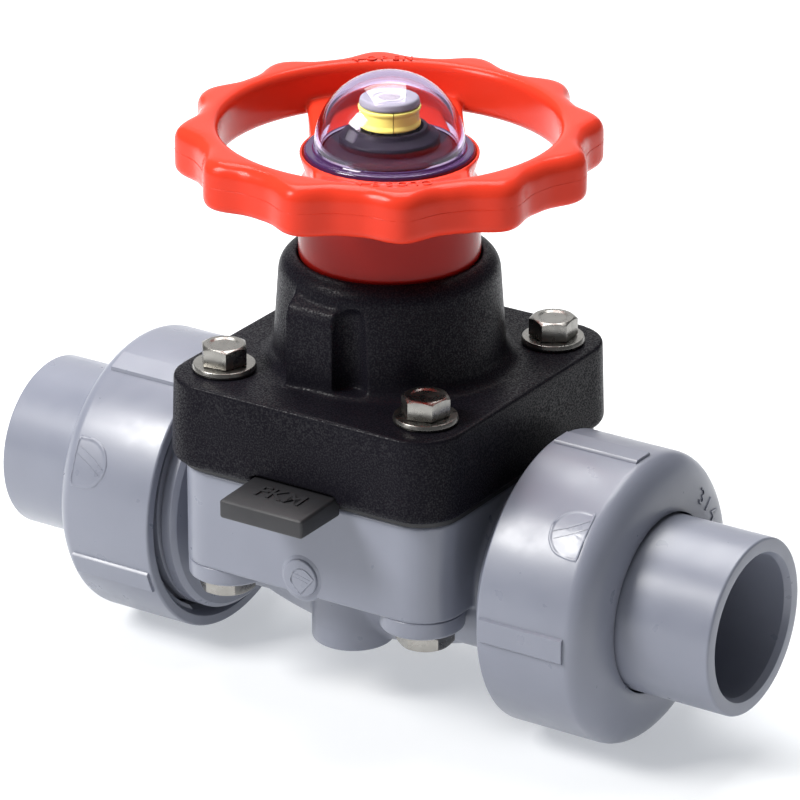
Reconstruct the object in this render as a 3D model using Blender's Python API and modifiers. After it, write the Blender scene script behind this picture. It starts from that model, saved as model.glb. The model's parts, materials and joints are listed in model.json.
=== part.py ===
"""A true-union diaphragm valve for plastic pipe, with a non-rising handwheel.

The flow runs along X and the stem rises along Z; the two axes cross at the origin.
Turning the handwheel turns a captive nut, which lifts the stem, the compressor and the
middle of the diaphragm. A yellow band under a clear dome shows how far it is open.
All sizes below are in millimetres; MM turns them into metres where a mesh is made.
"""

import math

import bmesh
import bpy
from mathutils import Vector

MM = 0.001
GAP = 0.3  # between pieces that touch

# How finely round pieces are faceted
LARGE = 32
MEDIUM = 20
SMALL = 12

# Body: a square block with round corners over a barrel along the flow
BLOCK_HALF_X = 29.2
BLOCK_HALF_Y = 29.8
BLOCK_CORNER = 8.0
BLOCK_BOTTOM = -1.9
BODY_TOP = 17.6
PAD_BOTTOM = -5.2
BARREL_R = 16.9
BARREL_BULGE = 3.2
BARREL_BULGE_END = 21.0
COLLAR_R = 23.3
COLLAR_START = 33.2
BODY_END = 50.0
SEAL_R = 15.0
FLOW_R = 9.5
WEIR_CREST = 14.0
WEIR_HALF = 3.2
BOWL_R = 18.0
BOSS_R = 7.8
BOSS_BOTTOM = -16.8
BOSS_Y = 12.5
INSERT_R = 4.0
INSERT_BORE_R = 2.5
INSERT_TOP = -9.0

# Bonnet: a square plate with a round neck
PLATE_HALF_X = 31.0
PLATE_HALF_Y = 32.6
PLATE_CORNER = 9.0
PLATE_BOTTOM = 19.1
PLATE_TOP = 35.5
NECK_R = 21.7
NECK_FOOT_R = 22.3
NECK_TOP = 57.8
NECK_SHOULDER = 4.3
POCKET_R = 17.0
POCKET_FLOOR = 50.0
LEDGE_BOTTOM = 45.8
LEDGE_BORE_R = 9.7
CHAMBER_R = 16.0
CHAMBER_TOP = 38.6
NUT_CHAMBER_R = 12.5
LUG_TOP = 49.5
LUG_SLOPE = math.radians(66)
LUG_SPAN = (-8.2, 3.0)
LUG_Y = 22.7
CHANNEL_X = 6.1
CHANNEL_Y = 22.9

# Diaphragm, with the tab that stands out of the side
RIM_BOTTOM = BODY_TOP + GAP
RIM_TOP = PLATE_BOTTOM - GAP
CROWN_TOP = 22.9
CROWN_RISE_R = 15.2
MEMBRANE = 2.4
TAB_HALF = 9.0
TAB_START = 30.35
TAB_END = -43.0
TAB_BOTTOM = 16.6
TAB_TOP = 20.7

# Fasteners that hold the bonnet to the body
BOLT_AT = 22.0
BOLT_R = 2.35
BOLT_HOLE_R = 2.9
HEAD_FLATS = 7.94
HEAD_HEIGHT = 3.4
WASHER_R = 6.0
WASHER_HEIGHT = 1.1
NUT_FLATS = 9.5
NUT_HEIGHT = 3.2

# Stem and what rides on it
STEM_R = 5.0
STEM_BOTTOM = 29.0
STEM_SHOULDER = 80.9
STEM_TOP = 84.8
SPIGOT_R = 3.9
COMPRESSOR_BOTTOM = 24.2
COMPRESSOR_TOP = 38.0
COMPRESSOR_R = 15.0
COMPRESSOR_BOSS_R = 9.4
PIN_R = 1.6
PIN_Z = 33.0
PIN_HALF = 17.6
STUD_R = 1.9
BAND_R = 5.7
CAP_TOP = 86.4

# Stem nut and the handwheel on it
SLEEVE_R = 9.3
SLEEVE_TOP = 73.4
NUT_FLANGE_R = 12.0
NUT_FLANGE_BOTTOM = 41.2
NUT_FLANGE_TOP = 44.2
HUB_BORE_R = 9.6
HUB_R = 16.26
HUB_BOTTOM = 51.7
HUB_FLOOR = 70.0
HUB_GROOVE = (52.9, 55.3)
HUB_GROOVE_R = 14.7
CUP_LIP = 76.2
SEAL_SEAT = 73.4
RIM_LOW = 72.5
RIM_HIGH = 82.0
RIM_LOBES = 12
RIM_MEAN_R = 37.25
RIM_WAVE = 1.95
RIM_INNER_R = 31.2
WEB_ANGLE = math.radians(-55.1)
WEB_HALF = 14.5
WEB_TOP = 77.1
WEB_BOTTOM = 72.2
KEY_HALF = 1.5
KEY_LOW = 58.0
KEY_HIGH = 67.0
DOME_R = 13.85
DOME_CENTRE = 77.0
DOME_WALL = 1.2
DOME_FLANGE_R = 15.67
DOME_SKIRT_R = 14.3
DOME_SEAT = 75.3
DOME_SKIRT_END = 74.6

# Pipe unions, measured outwards from the middle along each side
CONNECTOR_END = 78.3
CONNECTOR_R = 16.7
SOCKET_R = 13.4
SOCKET_FLOOR = 56.5
FLANGE_R = 22.0
FLANGE_OUT = 54.5
UNION_START = 36.3
UNION_END = 59.5
UNION_R = 27.6
UNION_BORE_R = 24.0
UNION_SHOULDER = 54.8
UNION_FILLET = 5.0
RIB_HALF = 2.15
RIB_RISE = 0.5
RIB_SPAN = (37.2, 54.6)

COLOURS = {
    "grey_pvc": ((0.36, 0.38, 0.44), 0.35, 0.0),
    "black_pp": ((0.018, 0.018, 0.021), 0.42, 0.0),
    "red_abs": ((0.62, 0.035, 0.03), 0.28, 0.0),
    "clear_dome": ((0.72, 0.68, 0.82), 0.05, 0.0),
    "rubber": ((0.022, 0.022, 0.022), 0.65, 0.0),
    "stainless": ((0.62, 0.6, 0.57), 0.3, 1.0),
    "brass": ((0.72, 0.5, 0.2), 0.3, 1.0),
    "yellow": ((0.85, 0.62, 0.03), 0.35, 0.0),
    "cap_grey": ((0.28, 0.29, 0.3), 0.45, 0.0),
}


def clear_scene():
    for obj in list(bpy.data.objects):
        bpy.data.objects.remove(obj, do_unlink=True)


def new_collection(name):
    collection = bpy.data.collections.new(name)
    bpy.context.scene.collection.children.link(collection)
    return collection


clear_scene()
PARTS = new_collection("diaphragm_valve")
TOOLS = new_collection("cutters")


def make_materials():
    """One Principled material for each kind of stuff in the valve."""
    made = {}
    for name, (colour, roughness, metallic) in COLOURS.items():
        material = bpy.data.materials.new(name)
        material.use_nodes = True
        shader = material.node_tree.nodes["Principled BSDF"]
        shader.inputs["Base Color"].default_value = (*colour, 1.0)
        shader.inputs["Roughness"].default_value = roughness
        shader.inputs["Metallic"].default_value = metallic
        made[name] = material
    return made


MATERIALS = make_materials()


# ---------------------------------------------------------------- helpers


def new_object(name, mesh, material=None):
    """An object in the parts collection, or in the cutters when it has no material."""
    obj = bpy.data.objects.new(name, mesh)
    if material:
        mesh.materials.append(MATERIALS[material])
        PARTS.objects.link(obj)
    else:
        obj.hide_render = True
        obj.display_type = "WIRE"
        TOOLS.objects.link(obj)
    return obj


def point_along(obj, axis):
    """Turns an object made along +Z so that it runs along the named axis."""
    turns = {
        "+Z": (0.0, 0.0, 0.0),
        "+X": (0.0, math.pi / 2, 0.0),
        "-X": (0.0, -math.pi / 2, 0.0),
        "-Y": (math.pi / 2, 0.0, 0.0),
    }
    obj.rotation_euler = turns[axis]


def arc(centre_r, centre_z, radius, start, end, steps=5):
    """Points on an arc from start to end, in degrees, as (r, z) pairs."""
    angles = [math.radians(start + (end - start) * i / steps) for i in range(steps + 1)]
    return [(centre_r + radius * math.cos(a), centre_z + radius * math.sin(a)) for a in angles]


def turned(name, profile, material=None, segments=LARGE, axis="+Z", closed=True):
    """A solid of revolution. The profile runs down its outer side, then back up its bore."""
    mesh = bpy.data.meshes.new(name)
    points = [(r * MM, 0.0, z * MM) for r, z in profile]
    edges = [(i, i + 1) for i in range(len(points) - 1)]
    if closed:
        edges.append((len(points) - 1, 0))
    mesh.from_pydata(points, edges, [])
    obj = new_object(name, mesh, material)
    point_along(obj, axis)
    turn = obj.modifiers.new("turn", "SCREW")
    turn.steps = segments
    turn.render_steps = segments
    turn.use_merge_vertices = True
    turn.merge_threshold = 0.00001
    turn.use_smooth_shade = True
    return obj


def ring(name, inner, outer, low, high, material=None, segments=MEDIUM, axis="+Z"):
    """A plain ring between two heights along its axis."""
    profile = [(outer, high), (outer, low), (inner, low), (inner, high)]
    return turned(name, profile, material, segments, axis)


def rod(name, radius, low, high, at=(0.0, 0.0), axis="+Z", material=None, segments=MEDIUM):
    """A solid cylinder between two heights along its axis, centred on at in the world's X and Y."""
    mesh = bpy.data.meshes.new(name)
    shape = bmesh.new()
    bmesh.ops.create_cone(
        shape,
        cap_ends=True,
        segments=segments,
        radius1=radius * MM,
        radius2=radius * MM,
        depth=(high - low) * MM,
    )
    bmesh.ops.translate(shape, verts=shape.verts, vec=(0.0, 0.0, (low + high) / 2 * MM))
    shape.to_mesh(mesh)
    shape.free()
    obj = new_object(name, mesh, material)
    obj.location = (at[0] * MM, at[1] * MM, 0.0)
    point_along(obj, axis)
    return obj


def box(name, low, high, material=None):
    """A box between two corners."""
    mesh = bpy.data.meshes.new(name)
    shape = bmesh.new()
    bmesh.ops.create_cube(shape, size=1.0)
    size = Vector(high) - Vector(low)
    middle = (Vector(high) + Vector(low)) / 2
    bmesh.ops.scale(shape, verts=shape.verts, vec=size * MM)
    bmesh.ops.translate(shape, verts=shape.verts, vec=middle * MM)
    shape.to_mesh(mesh)
    shape.free()
    return new_object(name, mesh, material)


def slab(name, outlines, low, high, material=None, edge=0.0, steps=1):
    """A flat shape between two heights, from one or more closed outlines, with rounded edges."""
    data = bpy.data.curves.new(name, "CURVE")
    data.dimensions = "2D"
    data.fill_mode = "BOTH"
    data.extrude = ((high - low) / 2 - edge) * MM
    data.bevel_depth = edge * MM
    data.bevel_resolution = steps
    data.offset = -edge * MM
    for outline in outlines:
        spline = data.splines.new("POLY")
        spline.points.add(len(outline) - 1)
        spline.use_cyclic_u = True
        for point, (x, y) in zip(spline.points, outline):
            point.co = (x * MM, y * MM, 0.0, 1.0)
    curve = bpy.data.objects.new(name + "_outline", data)
    bpy.context.scene.collection.objects.link(curve)
    curve.location.z = (low + high) / 2 * MM
    graph = bpy.context.evaluated_depsgraph_get()
    mesh = bpy.data.meshes.new_from_object(curve.evaluated_get(graph))
    place = curve.matrix_world.copy()
    bpy.data.objects.remove(curve)
    shape = bmesh.new()
    shape.from_mesh(mesh)
    bmesh.ops.remove_doubles(shape, verts=shape.verts, dist=0.00001)
    bmesh.ops.recalc_face_normals(shape, faces=shape.faces)
    shape.to_mesh(mesh)
    shape.free()
    mesh.materials.clear()
    obj = new_object(name, mesh, material)
    obj.matrix_world = place
    return obj


def o_ring(name, radius, thickness, at, turn):
    """A rubber ring of round section, which is as thick as twice its minor radius."""
    bpy.ops.mesh.primitive_torus_add(
        major_segments=30,
        minor_segments=6,
        major_radius=radius * MM,
        minor_radius=thickness * MM,
        location=Vector(at) * MM,
        rotation=turn,
    )
    obj = bpy.context.object
    for collection in obj.users_collection:
        collection.objects.unlink(obj)
    PARTS.objects.link(obj)
    obj.name = name
    obj.data.materials.append(MATERIALS["rubber"])
    obj.data.shade_smooth()
    return obj


def rounded_rectangle(half_x, half_y, radius, steps=4):
    """The outline of a rectangle with round corners, counter-clockwise."""
    outline = []
    for corner, (sign_x, sign_y) in enumerate(((1, 1), (-1, 1), (-1, -1), (1, -1))):
        centre = (sign_x * (half_x - radius), sign_y * (half_y - radius))
        start = 90 * corner
        outline += arc(centre[0], centre[1], radius, start, start + 90, steps)
    return outline


def hexagon(flats):
    """The outline of a hexagon by its width across flats."""
    radius = flats / math.sqrt(3)
    return [(radius * math.cos(a), radius * math.sin(a)) for a in (i * math.pi / 3 for i in range(6))]


def combine(obj, tool, operation):
    modifier = obj.modifiers.new(tool.name, "BOOLEAN")
    modifier.operation = operation
    modifier.object = tool
    return obj


def cut(obj, *tools):
    for tool in tools:
        combine(obj, tool, "DIFFERENCE")


def add(obj, *tools):
    for tool in tools:
        combine(obj, tool, "UNION")


def corners():
    """The four bolt positions, numbered round the plate."""
    signs = ((1, -1), (1, 1), (-1, 1), (-1, -1))
    return [(i + 1, (x * BOLT_AT, y * BOLT_AT)) for i, (x, y) in enumerate(signs)]


def bolt_holes(owner, low, high):
    return [rod(f"{owner}_bolt_hole_{i}", BOLT_HOLE_R, low, high, at, segments=SMALL) for i, at in corners()]


# ---------------------------------------------------------------- body


def barrel_profile():
    """The outside of the flow barrel: collar, tube, belly, tube, collar."""
    belly = []
    steps = 6
    for i in range(steps + 1):
        x = BARREL_BULGE_END * (1 - 2 * i / steps)
        belly.append((BARREL_R + BARREL_BULGE * (1 - (x / BARREL_BULGE_END) ** 2), x))
    end = [
        (0.0, BODY_END),
        (COLLAR_R - 1.0, BODY_END),
        (COLLAR_R, BODY_END - 1.0),
        (COLLAR_R, COLLAR_START + 0.6),
        (COLLAR_R - 0.6, COLLAR_START),
        (BARREL_R + 1.5, COLLAR_START),
        (BARREL_R, COLLAR_START - 1.5),
    ]
    return end + belly + [(r, -x) for r, x in reversed(end)]


def make_body():
    """The grey body: block, barrel with two threaded collars, corner pads and two mounting bosses."""
    outline = rounded_rectangle(BLOCK_HALF_X, BLOCK_HALF_Y, BLOCK_CORNER)
    body = slab("valve_body", [outline], BLOCK_BOTTOM, BODY_TOP, "grey_pvc")
    add(body, turned("body_barrel", barrel_profile(), axis="+X", closed=False))
    reach = COLLAR_START - 1.0
    cut(body, box("body_top_face", (-reach, -reach, BODY_TOP), (reach, reach, BODY_TOP + 10)))
    for i, (x, y) in corners():
        centre = (BLOCK_HALF_X - BLOCK_CORNER, BLOCK_HALF_Y - BLOCK_CORNER)
        at = (math.copysign(centre[0], x), math.copysign(centre[1], y))
        add(body, rod(f"body_pad_{i}", BLOCK_CORNER - 0.06, PAD_BOTTOM, 2.0, at, segments=MEDIUM))
    for i, y in ((1, -BOSS_Y), (2, BOSS_Y)):
        add(body, rod(f"body_boss_{i}", BOSS_R, BOSS_BOTTOM, -1.0, (0.0, y)))
        low, high = BOSS_BOTTOM - 5, INSERT_TOP + GAP
        cut(body, rod(f"body_insert_hole_{i}", INSERT_R + GAP, low, high, (0.0, y), segments=SMALL))
    gate = rod("body_gate", 3.6, BLOCK_HALF_Y - 2.0, BLOCK_HALF_Y + 0.7, axis="-Y", segments=SMALL)
    gate.location.z = 1.8 * MM
    add(body, gate)
    cut(body, *bolt_holes("body", PAD_BOTTOM - 5, BODY_TOP + 5))

    # Each half of the waterway runs in along X and turns up to the bowl beside the weir.
    for side, axis in (("right", "+X"), ("left", "-X")):
        sign = 1 if side == "right" else -1
        cut(body, rod(f"body_flow_{side}", FLOW_R, 12.0, BODY_END + 5, axis=axis))
        rise = slab(
            f"body_rise_{side}",
            [[(sign * x, y) for x, y in waterway_outline()][::sign]],
            -7.6,
            BODY_TOP + 5,
        )
        cut(body, rise)
        inner, outer = SEAL_R - 1.6, SEAL_R + 1.6
        groove = ring(f"body_seal_groove_{side}", inner, outer, BODY_END - 2.3, BODY_END + 2, axis=axis)
        cut(body, groove)
    bowl = [(0.0, BODY_TOP + 2), (BOWL_R, BODY_TOP + 2), (BOWL_R, BODY_TOP - 1.0)]
    bowl += [(BOWL_R - 5.0, WEIR_CREST), (0.0, WEIR_CREST)]
    cut(body, turned("body_bowl", bowl, closed=False))
    return body


def waterway_outline():
    """The plan of the passage beside the weir: flat against the weir, round on the far side."""
    half = FLOW_R - 0.4
    return [(WEIR_HALF, -half)] + arc(8.5, 0.0, half, -90, 90, 6) + [(WEIR_HALF, half)]


def make_inserts():
    """Threaded brass inserts in the mounting bosses."""
    for i, y in ((1, -BOSS_Y), (2, BOSS_Y)):
        low = BOSS_BOTTOM + 0.2
        insert = ring(f"boss_insert_{i}", INSERT_BORE_R, INSERT_R, low, INSERT_TOP, "brass", SMALL)
        insert.location.y = y * MM


# ---------------------------------------------------------------- bonnet


def neck_profile():
    shoulder = arc(NECK_R - NECK_SHOULDER, NECK_TOP - NECK_SHOULDER, NECK_SHOULDER, 90, 0, 4)
    foot = [
        (NECK_FOOT_R, PLATE_TOP + 1.6),
        (NECK_FOOT_R + 0.5, PLATE_TOP + 0.5),
        (NECK_FOOT_R + 1.6, PLATE_TOP),
        (NECK_FOOT_R + 1.6, PLATE_TOP - 3.0),
    ]
    return [(0.0, NECK_TOP)] + shoulder + foot + [(0.0, PLATE_TOP - 3.0)]


def bonnet_cavity():
    """The space inside the bonnet, from the hub's pocket down to the compressor's chamber."""
    return [
        (0.0, NECK_TOP + 3),
        (POCKET_R, NECK_TOP + 3),
        (POCKET_R, POCKET_FLOOR),
        (LEDGE_BORE_R, POCKET_FLOOR),
        (LEDGE_BORE_R, LEDGE_BOTTOM),
        (NUT_CHAMBER_R, LEDGE_BOTTOM),
        (NUT_CHAMBER_R, CHAMBER_TOP),
        (CHAMBER_R, CHAMBER_TOP - 2.0),
        (CHAMBER_R, PLATE_BOTTOM - 3),
        (0.0, PLATE_BOTTOM - 3),
    ]


def make_bonnet():
    """The black bonnet: plate, neck with a flat lug and a channel on each side, and the tab's slot."""
    outline = rounded_rectangle(PLATE_HALF_X, PLATE_HALF_Y, PLATE_CORNER)
    bonnet = slab("bonnet", [outline], PLATE_BOTTOM, PLATE_TOP, "black_pp", edge=0.9)
    add(bonnet, turned("bonnet_neck", neck_profile(), closed=False))
    for side, sign in (("front", -1), ("back", 1)):
        low = (LUG_SPAN[0], -LUG_Y, PLATE_TOP - 2)
        lug = box(f"bonnet_lug_{side}", low, (LUG_SPAN[1], -12.0, LUG_TOP + 6))
        if sign > 0:
            lug.rotation_euler.z = math.pi
        slope = box(f"bonnet_lug_slope_{side}", (-10.0, -10.0, 0.0), (10.0, 10.0, 12.0))
        slope.location = (2.0 * sign * MM, sign * LUG_Y * MM, LUG_TOP * MM)
        slope.rotation_euler.x = -sign * LUG_SLOPE
        combine(lug, slope, "DIFFERENCE")
        add(bonnet, lug)
        at = (-CHANNEL_X * sign, CHANNEL_Y * sign)
        channel = rod(f"bonnet_channel_{side}", 2.6, PLATE_TOP + 2.5, NECK_TOP - 6, at, segments=SMALL)
        cut(bonnet, channel)
    cut(bonnet, turned("bonnet_cavity", bonnet_cavity(), closed=False))
    cut(bonnet, *bolt_holes("bonnet", PLATE_BOTTOM - 5, PLATE_TOP + 5))
    slot = TAB_HALF + GAP
    low = (-slot, -PLATE_HALF_Y - 5, PLATE_BOTTOM - 5)
    cut(bonnet, box("bonnet_tab_slot", low, (slot, -28.0, TAB_TOP + GAP)))
    guide = PIN_R + GAP
    for side, sign in (("front", -1), ("back", 1)):
        low, high = sorted((sign * (CHAMBER_R - 4), sign * (PIN_HALF + GAP + 0.3)))
        channel = box(
            f"bonnet_pin_channel_{side}",
            (-guide, low, PLATE_BOTTOM - 3),
            (guide, high, PIN_Z + guide + 0.1),
        )
        cut(bonnet, channel)
    return bonnet


# ---------------------------------------------------------------- diaphragm


def make_diaphragm():
    """The rubber diaphragm: a clamped rim, a crown that moves, a side tab and bolt holes."""
    outline = rounded_rectangle(BLOCK_HALF_X + 0.4, BLOCK_HALF_Y + 0.6, BLOCK_CORNER)
    diaphragm = slab("diaphragm", [outline], RIM_BOTTOM, RIM_TOP, "rubber")
    crown = [(0.0, CROWN_TOP), (6.0, CROWN_TOP - 0.4), (11.0, CROWN_TOP - 1.6), (CROWN_RISE_R, RIM_TOP)]
    hollow = [(r, z - MEMBRANE) for r, z in crown]
    base = [(CROWN_RISE_R, RIM_TOP - 0.4), (0.0, RIM_TOP - 0.4)]
    add(diaphragm, turned("diaphragm_crown", crown + base, closed=False))
    below = [(0.0, hollow[0][1]), hollow[1], hollow[2], (CROWN_RISE_R - 2.0, RIM_BOTTOM + 0.2)]
    below += [(CROWN_RISE_R - 1.0, RIM_BOTTOM - 2), (0.0, RIM_BOTTOM - 2)]
    cut(diaphragm, turned("diaphragm_hollow", below, closed=False))
    plan = [(-TAB_HALF, TAB_END), (TAB_HALF, TAB_END), (TAB_HALF, -TAB_START), (-TAB_HALF, -TAB_START)]
    tab = slab("diaphragm_tab", [plan], TAB_BOTTOM, TAB_TOP, edge=0.5)
    root_half = TAB_HALF - 0.6
    root = box("diaphragm_tab_root", (-root_half, -31.5, RIM_BOTTOM), (root_half, -29.0, RIM_TOP))
    add(diaphragm, root, tab)
    cut(diaphragm, *bolt_holes("diaphragm", RIM_BOTTOM - 5, RIM_TOP + 5))
    return diaphragm


# ---------------------------------------------------------------- bonnet fasteners


def make_fasteners():
    """Four hex bolts, each with a washer above and a nut below."""
    washer_low = PLATE_TOP + GAP
    head_low = washer_low + WASHER_HEIGHT + GAP
    nut_high = PAD_BOTTOM - GAP
    nut_low = nut_high - NUT_HEIGHT
    for i, (x, y) in corners():
        place = Vector((x, y, 0.0)) * MM
        washer_high = washer_low + WASHER_HEIGHT
        washer = ring(f"bolt_washer_{i}", BOLT_R + GAP, WASHER_R, washer_low, washer_high, "stainless")
        washer.location = place
        bolt = slab(f"bonnet_bolt_{i}", [hexagon(HEAD_FLATS)], head_low, head_low + HEAD_HEIGHT, "stainless")
        bolt.location += place
        add(bolt, rod(f"bolt_shank_{i}", BOLT_R, nut_low - 1.0, head_low + 1.0, (x, y), segments=SMALL))
        nut = slab(f"bolt_nut_{i}", [hexagon(NUT_FLATS)], nut_low, nut_high, "stainless")
        nut.location += place
        cut(nut, rod(f"bolt_nut_bore_{i}", BOLT_R + GAP, nut_low - 5, nut_high + 5, (x, y), segments=SMALL))


# ---------------------------------------------------------------- stem


def make_stem():
    """The rising stem, with a cross hole at its foot and a spigot for the indicator on top."""
    profile = [
        (0.0, STEM_TOP),
        (SPIGOT_R, STEM_TOP),
        (SPIGOT_R, STEM_SHOULDER),
        (STEM_R, STEM_SHOULDER),
        (STEM_R, STEM_BOTTOM + 0.6),
        (STEM_R - 0.6, STEM_BOTTOM),
        (0.0, STEM_BOTTOM),
    ]
    stem = turned("stem", profile, "stainless", MEDIUM, closed=False)
    pin_hole = rod("stem_pin_hole", PIN_R + GAP, -10.0, 10.0, axis="-Y", segments=SMALL)
    pin_hole.location.z = PIN_Z * MM
    cut(stem, pin_hole, rod("stem_screw_hole", 1.3, STEM_TOP - 5.5, STEM_TOP + 3, segments=SMALL))
    return stem


def make_compressor():
    """The compressor that pushes the diaphragm, its cross pin and the stud that pulls the crown up."""
    profile = [
        (COMPRESSOR_BOSS_R - 0.6, COMPRESSOR_TOP),
        (COMPRESSOR_BOSS_R, COMPRESSOR_TOP - 0.6),
        (COMPRESSOR_BOSS_R, 30.6),
        (COMPRESSOR_R, 28.6),
        (COMPRESSOR_R, 26.0),
        (COMPRESSOR_R - 3.0, COMPRESSOR_BOTTOM + 0.5),
        (5.0, COMPRESSOR_BOTTOM),
        (5.0, COMPRESSOR_BOTTOM + 0.6),
        (STUD_R + GAP, COMPRESSOR_BOTTOM + 0.6),
        (STUD_R + GAP, STEM_BOTTOM - GAP),
        (STEM_R + GAP, STEM_BOTTOM - GAP),
        (STEM_R + GAP, COMPRESSOR_TOP),
    ]
    compressor = turned("compressor", profile, "black_pp", MEDIUM)
    pin_hole = rod("compressor_pin_hole", PIN_R + GAP, -20.0, 20.0, axis="-Y", segments=SMALL)
    pin_hole.location.z = PIN_Z * MM
    cut(compressor, pin_hole)
    pin = rod("compressor_pin", PIN_R, -PIN_HALF, PIN_HALF, axis="-Y", material="stainless", segments=SMALL)
    pin.location.z = PIN_Z * MM
    stud_top = STEM_BOTTOM - 0.6
    flange = CROWN_TOP + GAP
    stud = [(0.0, stud_top), (STUD_R, stud_top), (STUD_R, flange + 1.2)]
    stud += [(4.6, flange + 1.2), (4.6, flange), (0.0, flange)]
    turned("diaphragm_stud", stud, "brass", SMALL, closed=False)
    return compressor


def make_indicator():
    """The yellow band and grey cap on top of the stem, with the screw that holds them."""
    low = STEM_SHOULDER + GAP
    high = STEM_TOP
    ring("indicator_band", SPIGOT_R + GAP, BAND_R, low, high, "yellow", MEDIUM)
    cap_low = STEM_TOP + GAP
    profile = [(BAND_R - 0.7, CAP_TOP), (BAND_R - 0.2, CAP_TOP - 0.5), (BAND_R - 0.2, cap_low)]
    profile += [(1.3, cap_low), (1.3, CAP_TOP - 0.7), (2.2, CAP_TOP - 0.7), (2.2, CAP_TOP)]
    turned("indicator_cap", profile, "cap_grey", MEDIUM)
    screw = [(0.0, CAP_TOP - 0.1), (1.9, CAP_TOP - 0.1), (1.9, CAP_TOP - 0.4), (1.0, CAP_TOP - 0.4)]
    screw += [(1.0, STEM_TOP - 5.0), (0.0, STEM_TOP - 5.0)]
    turned("indicator_screw", screw, "stainless", SMALL, closed=False)


# ---------------------------------------------------------------- handwheel and what turns with it


def make_stem_nut():
    """The captive brass nut: a flange under the bonnet's ledge and a long sleeve up through it."""
    profile = [
        (SLEEVE_R, SLEEVE_TOP),
        (SLEEVE_R, NUT_FLANGE_TOP),
        (NUT_FLANGE_R, NUT_FLANGE_TOP),
        (NUT_FLANGE_R, NUT_FLANGE_BOTTOM),
        (STEM_R + GAP, NUT_FLANGE_BOTTOM),
        (STEM_R + GAP, SLEEVE_TOP),
    ]
    nut = turned("stem_nut", profile, "brass", MEDIUM)
    slot = KEY_HALF + GAP
    cut(nut, box("stem_nut_keyway", (7.4, -slot, KEY_LOW - GAP), (12.0, slot, SLEEVE_TOP + 3)))
    box("drive_key", (7.4 + GAP, -KEY_HALF, KEY_LOW), (11.0, KEY_HALF, KEY_HIGH), "stainless")
    low, high = NUT_FLANGE_TOP + GAP, LEDGE_BOTTOM - GAP
    ring("lower_thrust_washer", LEDGE_BORE_R, NUT_FLANGE_R - 0.2, low, high, "brass")
    low, high = POCKET_FLOOR + GAP, HUB_BOTTOM - GAP
    ring("upper_thrust_washer", LEDGE_BORE_R, 13.4, low, high, "brass")
    return nut


def lobed_outline(steps_per_lobe=5):
    """The outside of the rim, a circle with one wave for each lobe."""
    outline = []
    for i in range(RIM_LOBES * steps_per_lobe):
        angle = WEB_ANGLE + 2 * math.pi * i / (RIM_LOBES * steps_per_lobe)
        radius = RIM_MEAN_R + RIM_WAVE * math.cos(RIM_LOBES * (angle - WEB_ANGLE))
        outline.append((radius * math.cos(angle), radius * math.sin(angle)))
    return outline


def hub_profile():
    """The hub: a skirt inside the bonnet, a groove for its wiper ring, and the cup that takes the dome."""
    return [
        (DOME_FLANGE_R + GAP, CUP_LIP),
        (16.3, CUP_LIP),
        (16.6, CUP_LIP - 0.4),
        (16.4, CUP_LIP - 1.0),
        (15.1, 71.6),
        (HUB_R, 70.8),
        (HUB_R, HUB_GROOVE[1]),
        (HUB_GROOVE_R, HUB_GROOVE[1]),
        (HUB_GROOVE_R, HUB_GROOVE[0]),
        (HUB_R, HUB_GROOVE[0]),
        (HUB_R, HUB_BOTTOM + 0.5),
        (HUB_R - 0.5, HUB_BOTTOM),
        (HUB_BORE_R, HUB_BOTTOM),
        (HUB_BORE_R, HUB_FLOOR),
        (12.9, HUB_FLOOR),
        (12.9, SEAL_SEAT),
        (DOME_SKIRT_R + GAP, SEAL_SEAT),
        (DOME_SKIRT_R + GAP, DOME_SEAT - GAP),
        (DOME_FLANGE_R + GAP, DOME_SEAT - GAP),
    ]


def make_handwheel():
    """The red handwheel: twelve-lobed rim, two broad webs and the hub."""
    inner = arc(0.0, 0.0, RIM_INNER_R, 360, 0, 36)[:-1]
    wheel = slab("handwheel", [lobed_outline(), inner], RIM_LOW, RIM_HIGH, "red_abs", edge=1.8)
    reach = RIM_INNER_R + 2.5
    web = box("handwheel_web", (-reach, -WEB_HALF, WEB_BOTTOM), (reach, WEB_HALF, WEB_TOP))
    web.rotation_euler.z = WEB_ANGLE
    cut(
        web,
        rod("handwheel_web_core", 14.8, WEB_BOTTOM - 5, DOME_SEAT - 0.6, segments=LARGE),
        rod("handwheel_web_cup", DOME_FLANGE_R + 0.5, DOME_SEAT - 0.6, RIM_HIGH, segments=LARGE),
    )
    add(wheel, web, turned("handwheel_hub", hub_profile()))
    slot = KEY_HALF + GAP
    cut(wheel, box("handwheel_keyway", (8.0, -slot, HUB_BOTTOM - 3), (11.0 + GAP, slot, HUB_FLOOR + 0.6)))
    return wheel


def make_indicator_housing():
    """The black collar nut that clamps the wheel and guides the indicator."""
    profile = [
        (7.6, 81.0),
        (8.5, 80.3),
        (8.5, 75.6),
        (9.6, 75.0),
        (10.6, 76.0),
        (12.3, 76.0),
        (12.3, 73.7),
        (12.3, HUB_FLOOR + GAP),
        (SLEEVE_R + GAP, HUB_FLOOR + GAP),
        (SLEEVE_R + GAP, SLEEVE_TOP + GAP),
        (BAND_R + 0.4, SLEEVE_TOP + GAP),
        (BAND_R + 0.4, 81.0),
    ]
    return turned("indicator_housing", profile, "black_pp", MEDIUM)


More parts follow.
